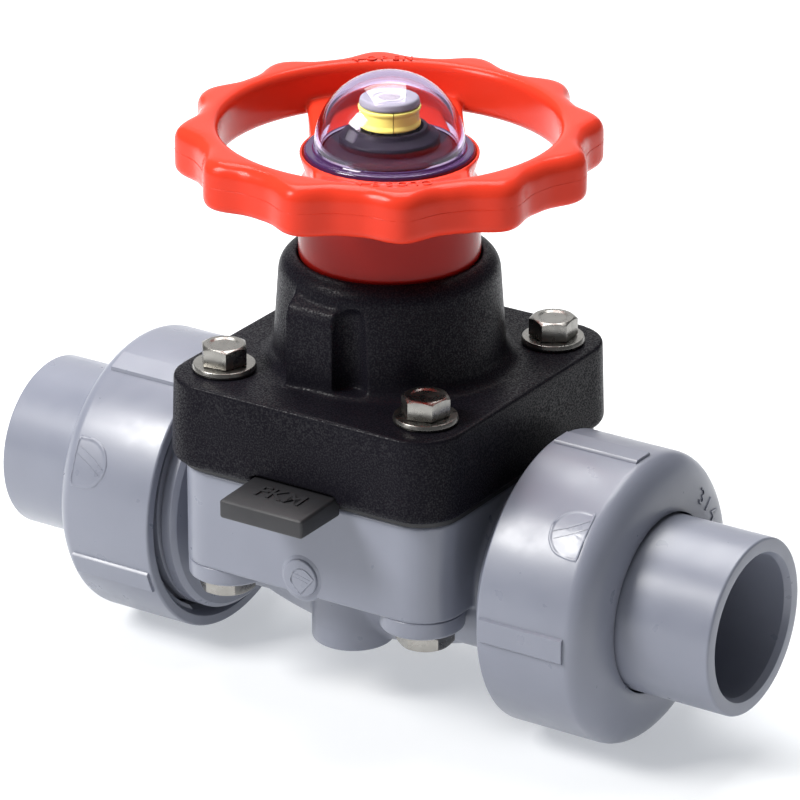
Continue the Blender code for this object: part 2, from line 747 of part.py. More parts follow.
def make_dome():
    """The clear dome, its sealing ring on the cup's lip, and the wiper ring round the hub."""
    flange_top = DOME_CENTRE - 0.1
    outer = arc(0.0, DOME_CENTRE, DOME_R, 90, 3, 7)
    inner = arc(0.0, DOME_CENTRE, DOME_R - DOME_WALL, 0, 90, 6)
    profile = outer + [(DOME_FLANGE_R - 0.5, flange_top), (DOME_FLANGE_R, flange_top - 0.5)]
    profile += [(DOME_FLANGE_R, DOME_SEAT), (DOME_SKIRT_R, DOME_SEAT), (DOME_SKIRT_R, DOME_SKIRT_END)]
    profile += [(DOME_R - DOME_WALL, DOME_SKIRT_END)] + inner
    turned("dome", profile, "clear_dome", LARGE, closed=False)
    ring("dome_seal", DOME_R - DOME_WALL + 0.6, DOME_SKIRT_R, SEAL_SEAT + GAP, DOME_SKIRT_END - GAP, "rubber")
    o_ring("hub_seal", 15.75, 0.75, (0.0, 0.0, sum(HUB_GROOVE) / 2), (0.0, 0.0, 0.0))


# ---------------------------------------------------------------- pipe unions


def make_union(side, axis, rib_phase):
    """One side's end connector, union nut and face seal."""
    connector = [
        (14.1, CONNECTOR_END),
        (CONNECTOR_R - 0.4, CONNECTOR_END),
        (CONNECTOR_R, CONNECTOR_END - 0.4),
        (CONNECTOR_R, FLANGE_OUT),
        (FLANGE_R, FLANGE_OUT),
        (FLANGE_R, BODY_END + GAP),
        (FLOW_R, BODY_END + GAP),
        (FLOW_R, SOCKET_FLOOR),
        (SOCKET_R - 0.15, SOCKET_FLOOR),
        (SOCKET_R, CONNECTOR_END - 1.0),
    ]
    turned(f"{side}_end_connector", connector, "grey_pvc", LARGE, axis)

    hole = CONNECTOR_R + 0.4
    fillet = arc(UNION_R - UNION_FILLET, UNION_END - UNION_FILLET, UNION_FILLET, 90, 0, 4)
    shell = [(hole, UNION_END)] + fillet + [(UNION_R, UNION_START + 0.3), (UNION_R - 0.3, UNION_START)]
    shell += [(UNION_BORE_R, UNION_START), (UNION_BORE_R, UNION_SHOULDER), (hole, UNION_SHOULDER)]
    nut = turned(f"{side}_union_nut", shell, "grey_pvc", LARGE, axis)
    sign = 1 if axis == "+X" else -1
    low, high = sorted(sign * x for x in RIB_SPAN)
    for i in range(4):
        corner = (high, RIB_HALF, UNION_R + RIB_RISE)
        rib = box(f"{side}_union_rib_{i}", (low, -RIB_HALF, UNION_R - 1.5), corner)
        rib.rotation_euler.x = math.radians(rib_phase + 90 * i)
        add(nut, rib)

    seal_at = (sign * (BODY_END - 1.05), 0.0, 0.0)
    o_ring(f"{side}_face_seal", SEAL_R, 1.0, seal_at, (0.0, math.pi / 2, 0.0))


make_body()
make_inserts()
make_bonnet()
make_diaphragm()
make_fasteners()
make_stem()
make_compressor()
make_indicator()
make_stem_nut()
make_handwheel()
make_indicator_housing()
make_dome()
make_union("right", "+X", 90.0)
make_union("left", "-X", 112.5)
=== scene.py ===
"""The detailed, finished look of the diaphragm valve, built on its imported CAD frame.

Sizes are in millimetres and MM turns them into metres. A piece takes its main size and place from
the CAD node that it stands for, and the values named below add the moulded detail.
"""

import json
import math

import bmesh
import bpy
from mathutils import Matrix, Vector, noise


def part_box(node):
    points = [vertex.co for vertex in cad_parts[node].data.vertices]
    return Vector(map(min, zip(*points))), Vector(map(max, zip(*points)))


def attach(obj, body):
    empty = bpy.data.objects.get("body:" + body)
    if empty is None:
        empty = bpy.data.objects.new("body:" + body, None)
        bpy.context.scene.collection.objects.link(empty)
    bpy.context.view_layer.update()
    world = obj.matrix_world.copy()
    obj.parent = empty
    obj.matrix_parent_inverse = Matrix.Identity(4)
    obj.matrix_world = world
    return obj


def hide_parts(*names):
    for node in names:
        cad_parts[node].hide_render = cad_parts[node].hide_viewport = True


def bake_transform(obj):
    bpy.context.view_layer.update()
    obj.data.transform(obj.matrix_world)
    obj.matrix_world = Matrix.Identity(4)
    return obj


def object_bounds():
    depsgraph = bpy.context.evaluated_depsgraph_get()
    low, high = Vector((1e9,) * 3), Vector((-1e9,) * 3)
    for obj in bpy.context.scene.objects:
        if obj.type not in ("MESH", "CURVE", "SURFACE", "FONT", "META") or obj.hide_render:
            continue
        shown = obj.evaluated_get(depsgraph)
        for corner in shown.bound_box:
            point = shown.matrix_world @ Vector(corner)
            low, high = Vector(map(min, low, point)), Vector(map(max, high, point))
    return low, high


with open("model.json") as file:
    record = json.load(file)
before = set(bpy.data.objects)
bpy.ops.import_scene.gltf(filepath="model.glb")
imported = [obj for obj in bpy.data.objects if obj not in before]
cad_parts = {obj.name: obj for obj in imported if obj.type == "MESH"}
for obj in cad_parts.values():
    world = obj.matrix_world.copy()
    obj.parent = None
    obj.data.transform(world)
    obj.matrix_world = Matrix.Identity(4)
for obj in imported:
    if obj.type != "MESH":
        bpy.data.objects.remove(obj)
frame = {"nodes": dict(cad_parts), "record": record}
cad_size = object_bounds()

MM = 0.001
ROUND = 128  # facets round a large turned piece
SHARP = 34.0  # a shaded edge is sharp above this angle, in degrees

# How the object is seen
VIEW_AZIMUTH = 32.89
VIEW_ELEVATION = 23.36
VIEW_DISTANCE = 1001.1
VIEW_SHIFT_RIGHT = 1.891
VIEW_SHIFT_UP = 24.225
VIEW_LENS = 239.7

# The studio, in metres and watts
FLOOR_SIZE = 8.0
FLOOR_GAP = 0.0002
LIGHTS = (
    ("key", (-0.8, -1.0, 1.2), 0.6, 34.0, (1.0, 0.99, 0.97)),
    ("strip", (-0.72, -1.05, 0.55), 0.35, 1.2, (1.0, 1.0, 1.0)),
    ("top", (-0.25, 0.3, 1.1), 0.8, 17.0, (1.0, 1.0, 1.0)),
    ("backdrop", (-0.8, 1.2, 0.65), 1.5, 5.0, (1.0, 1.0, 1.0)),
)
LIGHTS_AIM = (0.0, 0.0, 0.03)
WORLD_COLOUR = (0.95, 0.97, 1.0, 1.0)
WORLD_STRENGTH = 0.16

# Directions that a shape made along +Z can be turned to
TURNS = {
    "+Z": Matrix.Identity(4),
    "+X": Matrix.Rotation(math.pi / 2, 4, "Y"),
    "-X": Matrix.Rotation(-math.pi / 2, 4, "Y"),
    "-Y": Matrix.Rotation(math.pi / 2, 4, "X"),
}


def span(node):
    """Lowest and highest corner of a CAD node, in millimetres."""
    low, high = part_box(node)
    return Vector(low) / MM, Vector(high) / MM


BODY_HIGH = span("valve_body")[1]
BONNET_LOW, BONNET_HIGH = span("bonnet")
WHEEL_LOW, WHEEL_HIGH = span("handwheel")
DOME_LOW, DOME_HIGH = span("dome")
DIAPHRAGM_LOW, DIAPHRAGM_HIGH = span("diaphragm")
TAIL_LOW, TAIL_HIGH = span("right_end_connector")
NUT_LOW, NUT_HIGH = span("right_union_nut")
HOUSING_LOW, HOUSING_HIGH = span("indicator_housing")

# Body and its collars
BLOCK_HALF_X = 29.2
BLOCK_HALF_Y = BODY_HIGH.y
BLOCK_CORNER = 8.0
BLOCK_LOW = -1.9
BODY_TOP = 17.6
PAD_LOW = -5.2
BARREL_R = 16.9
BELLY = 3.2
BELLY_HALF = 21.0
COLLAR_R = BODY_HIGH.z
COLLAR_START = 33.2
FLOW_R = 9.5
WEIR_HALF = 3.2
WEIR_CREST = 14.0
BOWL_R = 18.0
RISE_REACH = 17.6
BOSS_R = 7.8
BOSS_LOW = -16.8
BOSS_Y = 12.5
BOSS_HOLE_R = 4.3
BOSS_HOLE_TOP = -8.7
BOLT_HOLE_R = 2.9
GATE_Z = 1.8
SEAL_SPAN_R = (13.4, 16.6)
SEAL_DEPTH = 2.3
THREAD_PITCH = 4.0
THREAD_DEPTH = 0.7
BODY_GRID, BODY_PASSES = 0.42, 5

# Bonnet
PLATE_TOP = 35.5
PLATE_CORNER = 9.0
PLATE_DRAFT = 0.4
NECK_TOP = 56.7
NECK_TOP_R = 20.3
NECK_FOOT_R = 21.8
NECK_SHOULDER = 3.7
NECK_FILLET = 4.0
POCKET_R = 17.05
POCKET_FLOOR = 50.0
LEDGE_BOTTOM = 45.8
LEDGE_BORE_R = 9.7
NUT_CHAMBER_R = 12.5
CHAMBER_R = 16.0
CHAMBER_TOP = 38.6
FINE_GRID = 0.36
BONNET_PASSES = 13  # more would draw the pocket in onto the wheel's hub
LUG_SPAN = (-8.2, 3.0)
LUG_TOP = 49.5
LUG_Y = 22.7
LUG_SLOPE = 66.0
BROW_SLOPE = 34.0
BROW_AT = (-21.5, 51.6)
CHANNEL_R = 3.3
CHANNEL_X = 5.5
CHANNEL_Y = 22.1
CHANNEL_TOP = 52.6
PIN_CHANNEL_HALF = (1.9, 17.9)
PIN_CHANNEL_TOP = 35.0

# Diaphragm and its tab
MEMBRANE_LOW, MEMBRANE_TOP = 17.9, 18.8
CROWN_R = 15.2
MEMBRANE_WALL = 2.4
TAB_TOP = 20.7
TAB_HALF = 9.0
TAB_ROOT_Y = -30.35
TAB_DROOP = 0.5
TAB_WORD_SIZE, TAB_WORD_HEIGHT = 5.4, 0.34

# Bonnet fasteners
HEAD_FLATS = 7.94
NUT_FLATS = 9.5
BOLT_R = 2.35
BOLT_TIP_R = 1.9
FASTENER_BORE_R = 2.65
BOLT_TURN, NUT_TURN = 17.0, 11.0

# Handwheel
RIM_LOW = 72.5
# Heights over which painted shade on the hub fades into the rim's plain red
HUB_PAINTED_SHADE_TOP, RIM_UNSHADED_FOOT = 67.5, 73.0
RIM_CREST_R = 39.2
RIM_VALLEY_R = 36.2
RIM_LOBES = 12
RIM_INNER_R = 31.2
RIM_EDGE = 3.4
RIM_INNER_EDGE = 1.7
RIM_UNDER = 1.8
LOBE_ANGLE = -53.6
WEB_ANGLE = -55.1
WEB_HALF = 14.5
WEB_SPAN = (72.2, 75.8)
WEB_CORE_R = 14.8
WEB_CUP_FLOOR = 74.7
CUP_LIP = 76.2
HUB_R = 16.26
HUB_FOOT_R = 16.85
HUB_STEP = 55.6
HUB_GROOVE = (52.9, 55.3)
HUB_GROOVE_R = 14.7
HUB_BORE_R = 9.6
HUB_FLOOR = 70.0
KEYWAY_R, KEYWAY_HALF, KEYWAY_TOP = 11.3, 1.8, 70.6
WHEEL_PASSES = 6
COLLAR_SEAT_R = 12.9
SEAL_SEAT, SEAL_SEAT_R = 73.4, 14.6
DOME_SEAT, DOME_SEAT_R = 75.0, 15.97
MARK_R = 32.9
MARK_PITCH = 3.9
MARK_SIZE, MARK_HEIGHT = 2.7, 0.22

# Indicator and dome
HOUSING_R = 12.3
HOUSING_BORE_R = 6.15
HOUSING_ROOF = 73.75
BAND_BORE_R = 4.2
SPLIT_ANGLE = -50.0
DOME_R = 13.85
DOME_CENTRE = DOME_HIGH.z - DOME_R
DOME_WALL = 1.2
DOME_FLANGE_R = DOME_HIGH.x

# Unions
UNION_R = 27.6
UNION_BORE_R = 24.0
UNION_HOLE_R = 17.1
UNION_SHOULDER = 54.8
FACE_R = 18.2
SHOULDER_DROP = 5.0
GATE_R = 5.0
GATE_TAIL = 2.6
GATE_X = 51.9
SOCKET_R = 13.4
SOCKET_FLOOR = 56.5
TAIL_R = 16.7
TAIL_FLANGE_R = 22.0
TAIL_FLANGE_OUT = 54.5
RIB_HALF = 2.15
RIB_RISE = 0.5
RIB_SPAN = (37.2, 54.6)
SIZE_MARK = "3/4"
SIZE_MARK_ANGLES = (139.5, 130.5, 121.5)
SIZE_MARK_HEIGHT = 4.5
SIZE_MARK_TILT = -10.0
SIZE_MARK_R = 20.9


# ---------------------------------------------------------------- mesh helpers


def to_object(name, shape, turn="+Z"):
    """An object from a bmesh in metres, turned to the named direction."""
    bmesh.ops.recalc_face_normals(shape, faces=shape.faces)
    mesh = bpy.data.meshes.new(name)
    shape.to_mesh(mesh)
    shape.free()
    mesh.transform(TURNS[turn])
    obj = bpy.data.objects.new(name, mesh)
    bpy.context.scene.collection.objects.link(obj)
    return obj


def rounded(points, closed=True, steps=4):
    """The outline with an arc at each corner that names a radius: (a, b) or (a, b, radius)."""
    outline = []
    for i, point in enumerate(points):
        here = Vector(point[:2])
        at_end = not closed and i in (0, len(points) - 1)
        if len(point) < 3 or at_end:
            outline.append(tuple(here))
            continue
        before = Vector(points[i - 1][:2]) - here
        after = Vector(points[(i + 1) % len(points)][:2]) - here
        half_angle = before.angle(after) / 2
        reach = min(point[2] / math.tan(half_angle), 0.49 * before.length, 0.49 * after.length)
        radius = reach * math.tan(half_angle)
        middle = (before.normalized() + after.normalized()).normalized()
        centre = here + middle * (radius / math.sin(half_angle))
        start = (here + before.normalized() * reach - centre).normalized()
        end = (here + after.normalized() * reach - centre).normalized()
        outline += [tuple(centre + start.slerp(end, k / steps) * radius) for k in range(steps + 1)]
    return outline


def lathe(name, outline, turn="+Z", segments=ROUND, closed=True):
    """A solid of revolution from (radius, height) points. An open outline starts and ends on the axis."""
    shape = bmesh.new()
    points = [shape.verts.new((r * MM, 0.0, z * MM)) for r, z in outline]
    pairs = list(zip(points, points[1:] + points[:1])) if closed else list(zip(points, points[1:]))
    edges = [shape.edges.new(pair) for pair in pairs]
    bmesh.ops.spin(
        shape, geom=points + edges, axis=(0.0, 0.0, 1.0), cent=(0.0, 0.0, 0.0),
        angle=2 * math.pi, steps=segments, use_merge=True, use_duplicate=False,
    )
    bmesh.ops.remove_doubles(shape, verts=shape.verts, dist=1e-7)
    bmesh.ops.dissolve_degenerate(shape, edges=shape.edges, dist=1e-7)
    return to_object(name, shape, turn)


def prism(name, outline, low, high, edge=0.0):
    """An upright solid on an outline, with rounded top and bottom edges."""
    shape = bmesh.new()
    base = [shape.verts.new((x * MM, y * MM, low * MM)) for x, y in outline]
    top = [shape.verts.new((x * MM, y * MM, high * MM)) for x, y in outline]
    shape.faces.new(base[::-1])
    shape.faces.new(top)
    for i in range(len(base)):
        shape.faces.new((base[i - 1], base[i], top[i], top[i - 1]))
    if edge:
        level = [e for e in shape.edges if abs(e.verts[0].co.z - e.verts[1].co.z) < 1e-7]
        bmesh.ops.bevel(
            shape, geom=level, offset=edge * MM, segments=3, profile=0.5, affect="EDGES", clamp_overlap=True
        )
    return to_object(name, shape)


def loft(name, rings):
    """A closed tube of closed rings with equally many (x, y, z) points. The last joins the first."""
    shape = bmesh.new()
    rows = [[shape.verts.new(Vector(point) * MM) for point in ring] for ring in rings]
    for k, row in enumerate(rows):
        before = rows[k - 1]
        for i in range(len(row)):
            shape.faces.new((before[i - 1], before[i], row[i], row[i - 1]))
    return to_object(name, shape)


def block(name, low, high, edge=0.0):
    """A box between two corners, with rounded edges."""
    shape = bmesh.new()
    bmesh.ops.create_cube(shape, size=1.0)
    low, high = Vector(low), Vector(high)
    bmesh.ops.scale(shape, verts=shape.verts, vec=(high - low) * MM)
    bmesh.ops.translate(shape, verts=shape.verts, vec=(low + high) / 2 * MM)
    if edge:
        bmesh.ops.bevel(
            shape, geom=shape.edges[:], offset=edge * MM, segments=3, profile=0.5, affect="EDGES"
        )
    return to_object(name, shape)


def rod(name, radius, low, high, at=(0.0, 0.0), turn="+Z", segments=48):
    """A cylinder along the named direction, then shifted by at in X and Y."""
    outline = [(0.0, low), (radius, low), (radius, high), (0.0, high)]
    obj = lathe(name, outline, turn, segments, closed=False)
    move(obj, at[0], at[1], 0.0)
    return obj


def settle(obj):
    """Turns the object's modifiers into its mesh."""
    mesh = evaluated_mesh(obj)
    obj.modifiers.clear()
    obj.data = mesh


def combine(obj, tools, operation):
    """Applies one boolean operation with each tool in turn, and removes the tools."""
    for tool in tools:
        modifier = obj.modifiers.new(tool.name, "BOOLEAN")
        modifier.operation = operation
        modifier.solver = "EXACT"
        modifier.object = tool
    settle(obj)
    for tool in tools:
        bpy.data.objects.remove(tool)


def cut(obj, *tools):
    """Takes the tools' shapes out of the object. A tool reaches a few millimetres past what it cuts."""
    combine(obj, tools, "DIFFERENCE")


def add(obj, *tools):
    """Joins the tools' shapes to the object as one solid."""
    combine(obj, tools, "UNION")


def moulded(obj, grid, passes):
    """Rounds every edge and inner corner of a solid, as a moulding has them."""
    remesh = obj.modifiers.new("skin", "REMESH")
    remesh.mode = "VOXEL"
    remesh.voxel_size = grid * MM
    soften = obj.modifiers.new("soften", "SMOOTH")
    soften.factor = 0.5
    soften.iterations = passes
    settle(obj)


def merge(obj, *others):
    """Puts the other objects' meshes into this one."""
    shape = bmesh.new()
    for part in (obj, *others):
        shape.from_mesh(part.data)
    shape.to_mesh(obj.data)
    shape.free()
    for other in others:
        bpy.data.objects.remove(other)
    return obj


def bevelled(obj, width):
    """Small round edges where two faces meet at more than 40 degrees."""
    bevel = obj.modifiers.new("edges", "BEVEL")
    bevel.width = width * MM
    bevel.segments = 2
    bevel.limit_method = "ANGLE"
    bevel.angle_limit = math.radians(40.0)
    settle(obj)


def spin(obj, degrees, axis):
    """Turns the mesh about a world axis."""
    obj.data.transform(Matrix.Rotation(math.radians(degrees), 4, axis))


def move(obj, x, y, z):
    """Moves the mesh by millimetres."""
    obj.data.transform(Matrix.Translation(Vector((x, y, z)) * MM))


def place(obj, x, y, z, turn=0.0):
    """Turns the mesh about Z by turn degrees, then moves it."""
    turned = Matrix.Rotation(math.radians(turn), 4, "Z")
    obj.data.transform(Matrix.Translation(Vector((x, y, z)) * MM) @ turned)
    return obj


def evaluated_mesh(obj):
    """The object's mesh, or its curve as a mesh, with its modifiers applied."""
    graph = bpy.context.evaluated_depsgraph_get()
    return bpy.data.meshes.new_from_object(obj.evaluated_get(graph))


def curve_to_object(name, data):
    """A mesh object made from curve or text data."""
    curve = bpy.data.objects.new(name, data)
    bpy.context.scene.collection.objects.link(curve)
    mesh = evaluated_mesh(curve)
    bpy.data.objects.remove(curve)
    obj = bpy.data.objects.new(name, mesh)
    bpy.context.scene.collection.objects.link(obj)
    return obj


def finish_piece(obj, body, slot, material, *nodes, sharp=SHARP):
    """Shades the piece, gives it its material, hides the CAD nodes that it stands for and fixes it to its
    body.
    """
    obj.data.shade_smooth()
    obj.data.set_sharp_from_angle(angle=math.radians(sharp))
    obj.data.materials.clear()
    obj.data.materials.append(material)
    if nodes:
        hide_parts(*nodes)
    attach(obj, body)
    return obj


def rounded_rectangle(half_x, half_y, radius):
    """An outline round the origin with four equal round corners."""
    corners = ((1, 1), (-1, 1), (-1, -1), (1, -1))
    return rounded([(half_x * x, half_y * y, radius) for x, y in corners], steps=10)


def hexagon(flats):
    """The outline of a hexagon by its width across flats."""
    radius = flats / math.sqrt(3)
    return [(radius * math.cos(i * math.pi / 3), radius * math.sin(i * math.pi / 3)) for i in range(6)]


def bolt_places():
    """(number, x, y) of the four bolts, from the CAD washers."""
    places = []
    for i in range(1, 5):
        low, high = span(f"bolt_washer_{i}")
        middle = (low + high) / 2
        places.append((i, middle.x, middle.y))
    return places


# ---------------------------------------------------------------- materials


class Finish:
    """A procedural material on one Principled shader."""

    def __init__(self, name, **values):
        """Makes the material. A value's name is its shader socket's, with _ for each space."""
        self.material = bpy.data.materials.new(name)
        self.material.use_nodes = True
        self.tree = self.material.node_tree
        self.shader = self.tree.nodes["Principled BSDF"]
        for socket, value in values.items():
            self.shader.inputs[socket.replace("_", " ")].default_value = value
        self.place = self.tree.nodes.new("ShaderNodeTexCoord").outputs["Object"]

    def link(self, source, target):
        """Joins an output to an input."""
        self.tree.links.new(source, target)

    def noise(self, size, detail):
        """Noise whose features are about size millimetres across."""
        node = self.tree.nodes.new("ShaderNodeTexNoise")
        node.inputs["Scale"].default_value = 1.0 / (size * MM)
        node.inputs["Detail"].default_value = detail
        self.link(self.place, node.inputs["Vector"])
        return node.outputs["Fac"]

    def spread(self, source, low, high, from_low=0.3, from_high=0.7):
        """The source mapped from one range of values to another."""
        node = self.tree.nodes.new("ShaderNodeMapRange")
        node.inputs["From Min"].default_value = from_low
        node.inputs["From Max"].default_value = from_high
        node.inputs["To Min"].default_value = low
        node.inputs["To Max"].default_value = high
        self.link(source, node.inputs["Value"])
        return node.outputs["Result"]

    def colour(self, source, *stops):
        """Base colour from a ramp of (position, colour) stops over the source."""
        ramp = self.tree.nodes.new("ShaderNodeValToRGB")
        while len(ramp.color_ramp.elements) < len(stops):
            ramp.color_ramp.elements.new(0.5)
        for element, (position, colour) in zip(ramp.color_ramp.elements, stops):
            element.position = position
            element.color = (*colour, 1.0)
        self.link(source, ramp.inputs["Fac"])
        self.link(ramp.outputs["Color"], self.shader.inputs["Base Color"])

    def roughness(self, source, low, high):
        """Roughness that follows the source between two values."""
        self.link(self.spread(source, low, high), self.shader.inputs["Roughness"])

    def bump(self, *layers):
        """Relief from (noise, height in millimetres, strength) layers."""
        normal = None
        for source, height, strength in layers:
            node = self.tree.nodes.new("ShaderNodeBump")
            node.inputs["Distance"].default_value = height * MM
            node.inputs["Strength"].default_value = strength
            self.link(source, node.inputs["Height"])
            if normal:
                self.link(normal, node.inputs["Normal"])
            normal = node.outputs["Normal"]
        self.link(normal, self.shader.inputs["Normal"])


def scaled(colour, by):
    """The colour with each channel multiplied."""
    return tuple(channel * by for channel in colour)


def moulded_plastic(name, colour, rough, vary, grain, height, strength, **values):
    """Moulded plastic: a slow drift of tone, an uneven gloss and a fine grain."""
    finish = Finish(name, **values)
    slow = finish.noise(14.0, 3.0)
    finish.colour(slow, (0.3, scaled(colour, 1 - vary)), (0.7, scaled(colour, 1 + vary)))
    finish.roughness(finish.noise(5.0, 5.0), rough[0], rough[1])
    finish.bump((finish.noise(grain, 3.0), height, strength), (slow, 0.12, 0.25))
    return finish.material


def grained_plastic():
    """Black plastic with a coarse moulded grain: matt, with small glossy flecks."""
    finish = Finish("black_pp")
    slow = finish.noise(14.0, 3.0)
    grain = finish.noise(0.3, 4.0)
    finish.colour(slow, (0.3, (0.006, 0.0055, 0.0085)), (0.7, (0.0085, 0.008, 0.0115)))
    finish.link(finish.spread(grain, 0.02, 0.22, 0.44, 0.74), finish.shader.inputs["Specular IOR Level"])
    finish.roughness(grain, 0.44, 0.34)
    finish.bump((grain, 0.03, 0.35), (slow, 0.12, 0.25))
    return finish.material


def wheel_plastic_with_painted_hub_shade():
    """Red plastic with painted shade: a deeper red on the hub below the web, where the rim shades it, than on
    the rim.
    """
    finish = Finish("red_abs", Specular_IOR_Level=0.14)
    axes = finish.tree.nodes.new("ShaderNodeSeparateXYZ")
    finish.link(finish.place, axes.inputs["Vector"])
    height = finish.spread(axes.outputs["Z"], 0.0, 1.0, HUB_PAINTED_SHADE_TOP * MM, RIM_UNSHADED_FOOT * MM)
    # Painted shade: a deeper red low on the hub, as if shaded by the rim, fading to the rim's red between the
    # two heights
    finish.colour(height, (0.0, (0.27, 0.01, 0.007)), (1.0, (0.66, 0.04, 0.018)))
    finish.roughness(finish.noise(5.0, 5.0), 0.16, 0.25)
    finish.bump((finish.noise(0.9, 3.0), 0.012, 0.25), (finish.noise(14.0, 3.0), 0.12, 0.25))
    return finish.material


def metal(name, colour, rough, grain):
    """Worked metal with fine marks and faint staining."""
    finish = Finish(name, Metallic=1.0)
    stain = finish.noise(2.5, 2.0)
    finish.colour(stain, (0.3, scaled(colour, 0.86)), (0.62, colour))
    finish.roughness(finish.noise(1.6, 2.0), rough[0], rough[1])
    finish.bump((finish.noise(grain, 2.0), 0.004, 0.12), (stain, 0.004, 0.08))
    return finish.material


def clear_plastic(name, tint, density, **values):
    """Clear violet plastic that is darker where it is thicker, with a few faint scuffs."""
    values = {"Transmission_Weight": 1.0, "Base_Color": (1.0, 1.0, 1.0, 1.0), **values}
    finish = Finish(name, IOR=1.45, **values)
    finish.roughness(finish.noise(3.0, 8.0), 0.015, 0.06)
    finish.bump((finish.noise(0.5, 2.0), 0.004, 0.15))
    absorb = finish.tree.nodes.new("ShaderNodeVolumeAbsorption")
    absorb.inputs["Color"].default_value = (*tint, 1.0)
    absorb.inputs["Density"].default_value = density
    output = finish.tree.nodes["Material Output"]
    finish.link(absorb.outputs["Volume"], output.inputs["Volume"])
    return finish.material


GREY = moulded_plastic(
    "grey_pvc", (0.19, 0.202, 0.25), (0.27, 0.38), 0.03, 0.45, 0.012, 0.25, Specular_IOR_Level=0.55
)
BLACK = grained_plastic()
RED = wheel_plastic_with_painted_hub_shade()
RUBBER = moulded_plastic("rubber", (0.018, 0.018, 0.021), (0.5, 0.62), 0.1, 0.3, 0.02, 0.4)
YELLOW = moulded_plastic("indicator_yellow", (1.0, 1.0, 0.2), (0.12, 0.2), 0.03, 0.5, 0.01, 0.2)
SCAR = moulded_plastic("grey_pvc_torn", (0.2, 0.212, 0.26), (0.22, 0.42), 0.1, 0.9, 0.03, 0.4)
CAP_GREY = moulded_plastic("cap_grey", (0.23, 0.25, 0.25), (0.3, 0.42), 0.06, 0.35, 0.02, 0.4)
STEEL = metal("stainless", (0.31, 0.3, 0.28), (0.24, 0.34), 0.25)
BRASS = metal("brass", (0.72, 0.5, 0.2), (0.22, 0.38), 0.3)
DOME = clear_plastic("clear_dome", (0.44, 0.12, 0.68), 230.0, Specular_IOR_Level=0.14)
DOME_RING = clear_plastic(
    "clear_dome_ring", (0.5, 0.08, 0.6), 260.0, Transmission_Weight=0.4, Base_Color=(0.075, 0.028, 0.115, 1.0)
)
GLOSS_BLACK = moulded_plastic(
    "black_gloss", (0.01, 0.008, 0.014), (0.4, 0.52), 0.1, 0.6, 0.008, 0.2, Specular_IOR_Level=0.12
)
CARRIED = {
    "grey_pvc": GREY,
    "black_pp": BLACK,
    "red_abs": RED,
    "clear_dome": DOME,
    "rubber": RUBBER,
    "stainless": STEEL,
    "brass": BRASS,
    "indicator_yellow": YELLOW,
    "cap_grey": CAP_GREY,
}


def dress_carried_nodes():
    """Gives every CAD node its procedural material, which shows on the nodes that are kept."""
    for part in frame["record"]["subparts"]:
        node = frame["nodes"][part["node"]]
        material = CARRIED[part["material_slot"]]
        if not node.material_slots:
            node.data.materials.append(material)
        for slot in node.material_slots:
            slot.material = material


# ---------------------------------------------------------------- body


def thread(name, root, crest, low, high, turn):
    """A threaded tube surface: a ridge that winds round from root to crest."""
    segments = 96
    shape = bmesh.new()
    section = [(0.0, root), (0.3, root), (0.42, crest), (0.86, crest), (0.98, root)]
    turns = int((high - low) / THREAD_PITCH) + 2
    rings = []
    for i in range(segments + 1):
        angle = 2 * math.pi * i / segments
        ring = []
        for lap in range(-1, turns):
            for share, radius in section:
                z = low + (lap + share + i / segments) * THREAD_PITCH
                kept = min(max(z, low), high)
                ring.append((radius if kept == z else root, angle, kept))
        rings.append(ring)
    verts = [
        [shape.verts.new(Vector((r * math.cos(a), r * math.sin(a), z)) * MM) for r, a, z in ring]
        for ring in rings
    ]
    for one, two in zip(verts, verts[1:]):
        for a, b, c, d in zip(one, one[1:], two[1:], two):
            shape.faces.new((a, b, c, d))
    bmesh.ops.remove_doubles(shape, verts=shape.verts, dist=1e-6)
    bmesh.ops.dissolve_degenerate(shape, edges=shape.edges, dist=1e-6)
    return to_object(name, shape, turn)


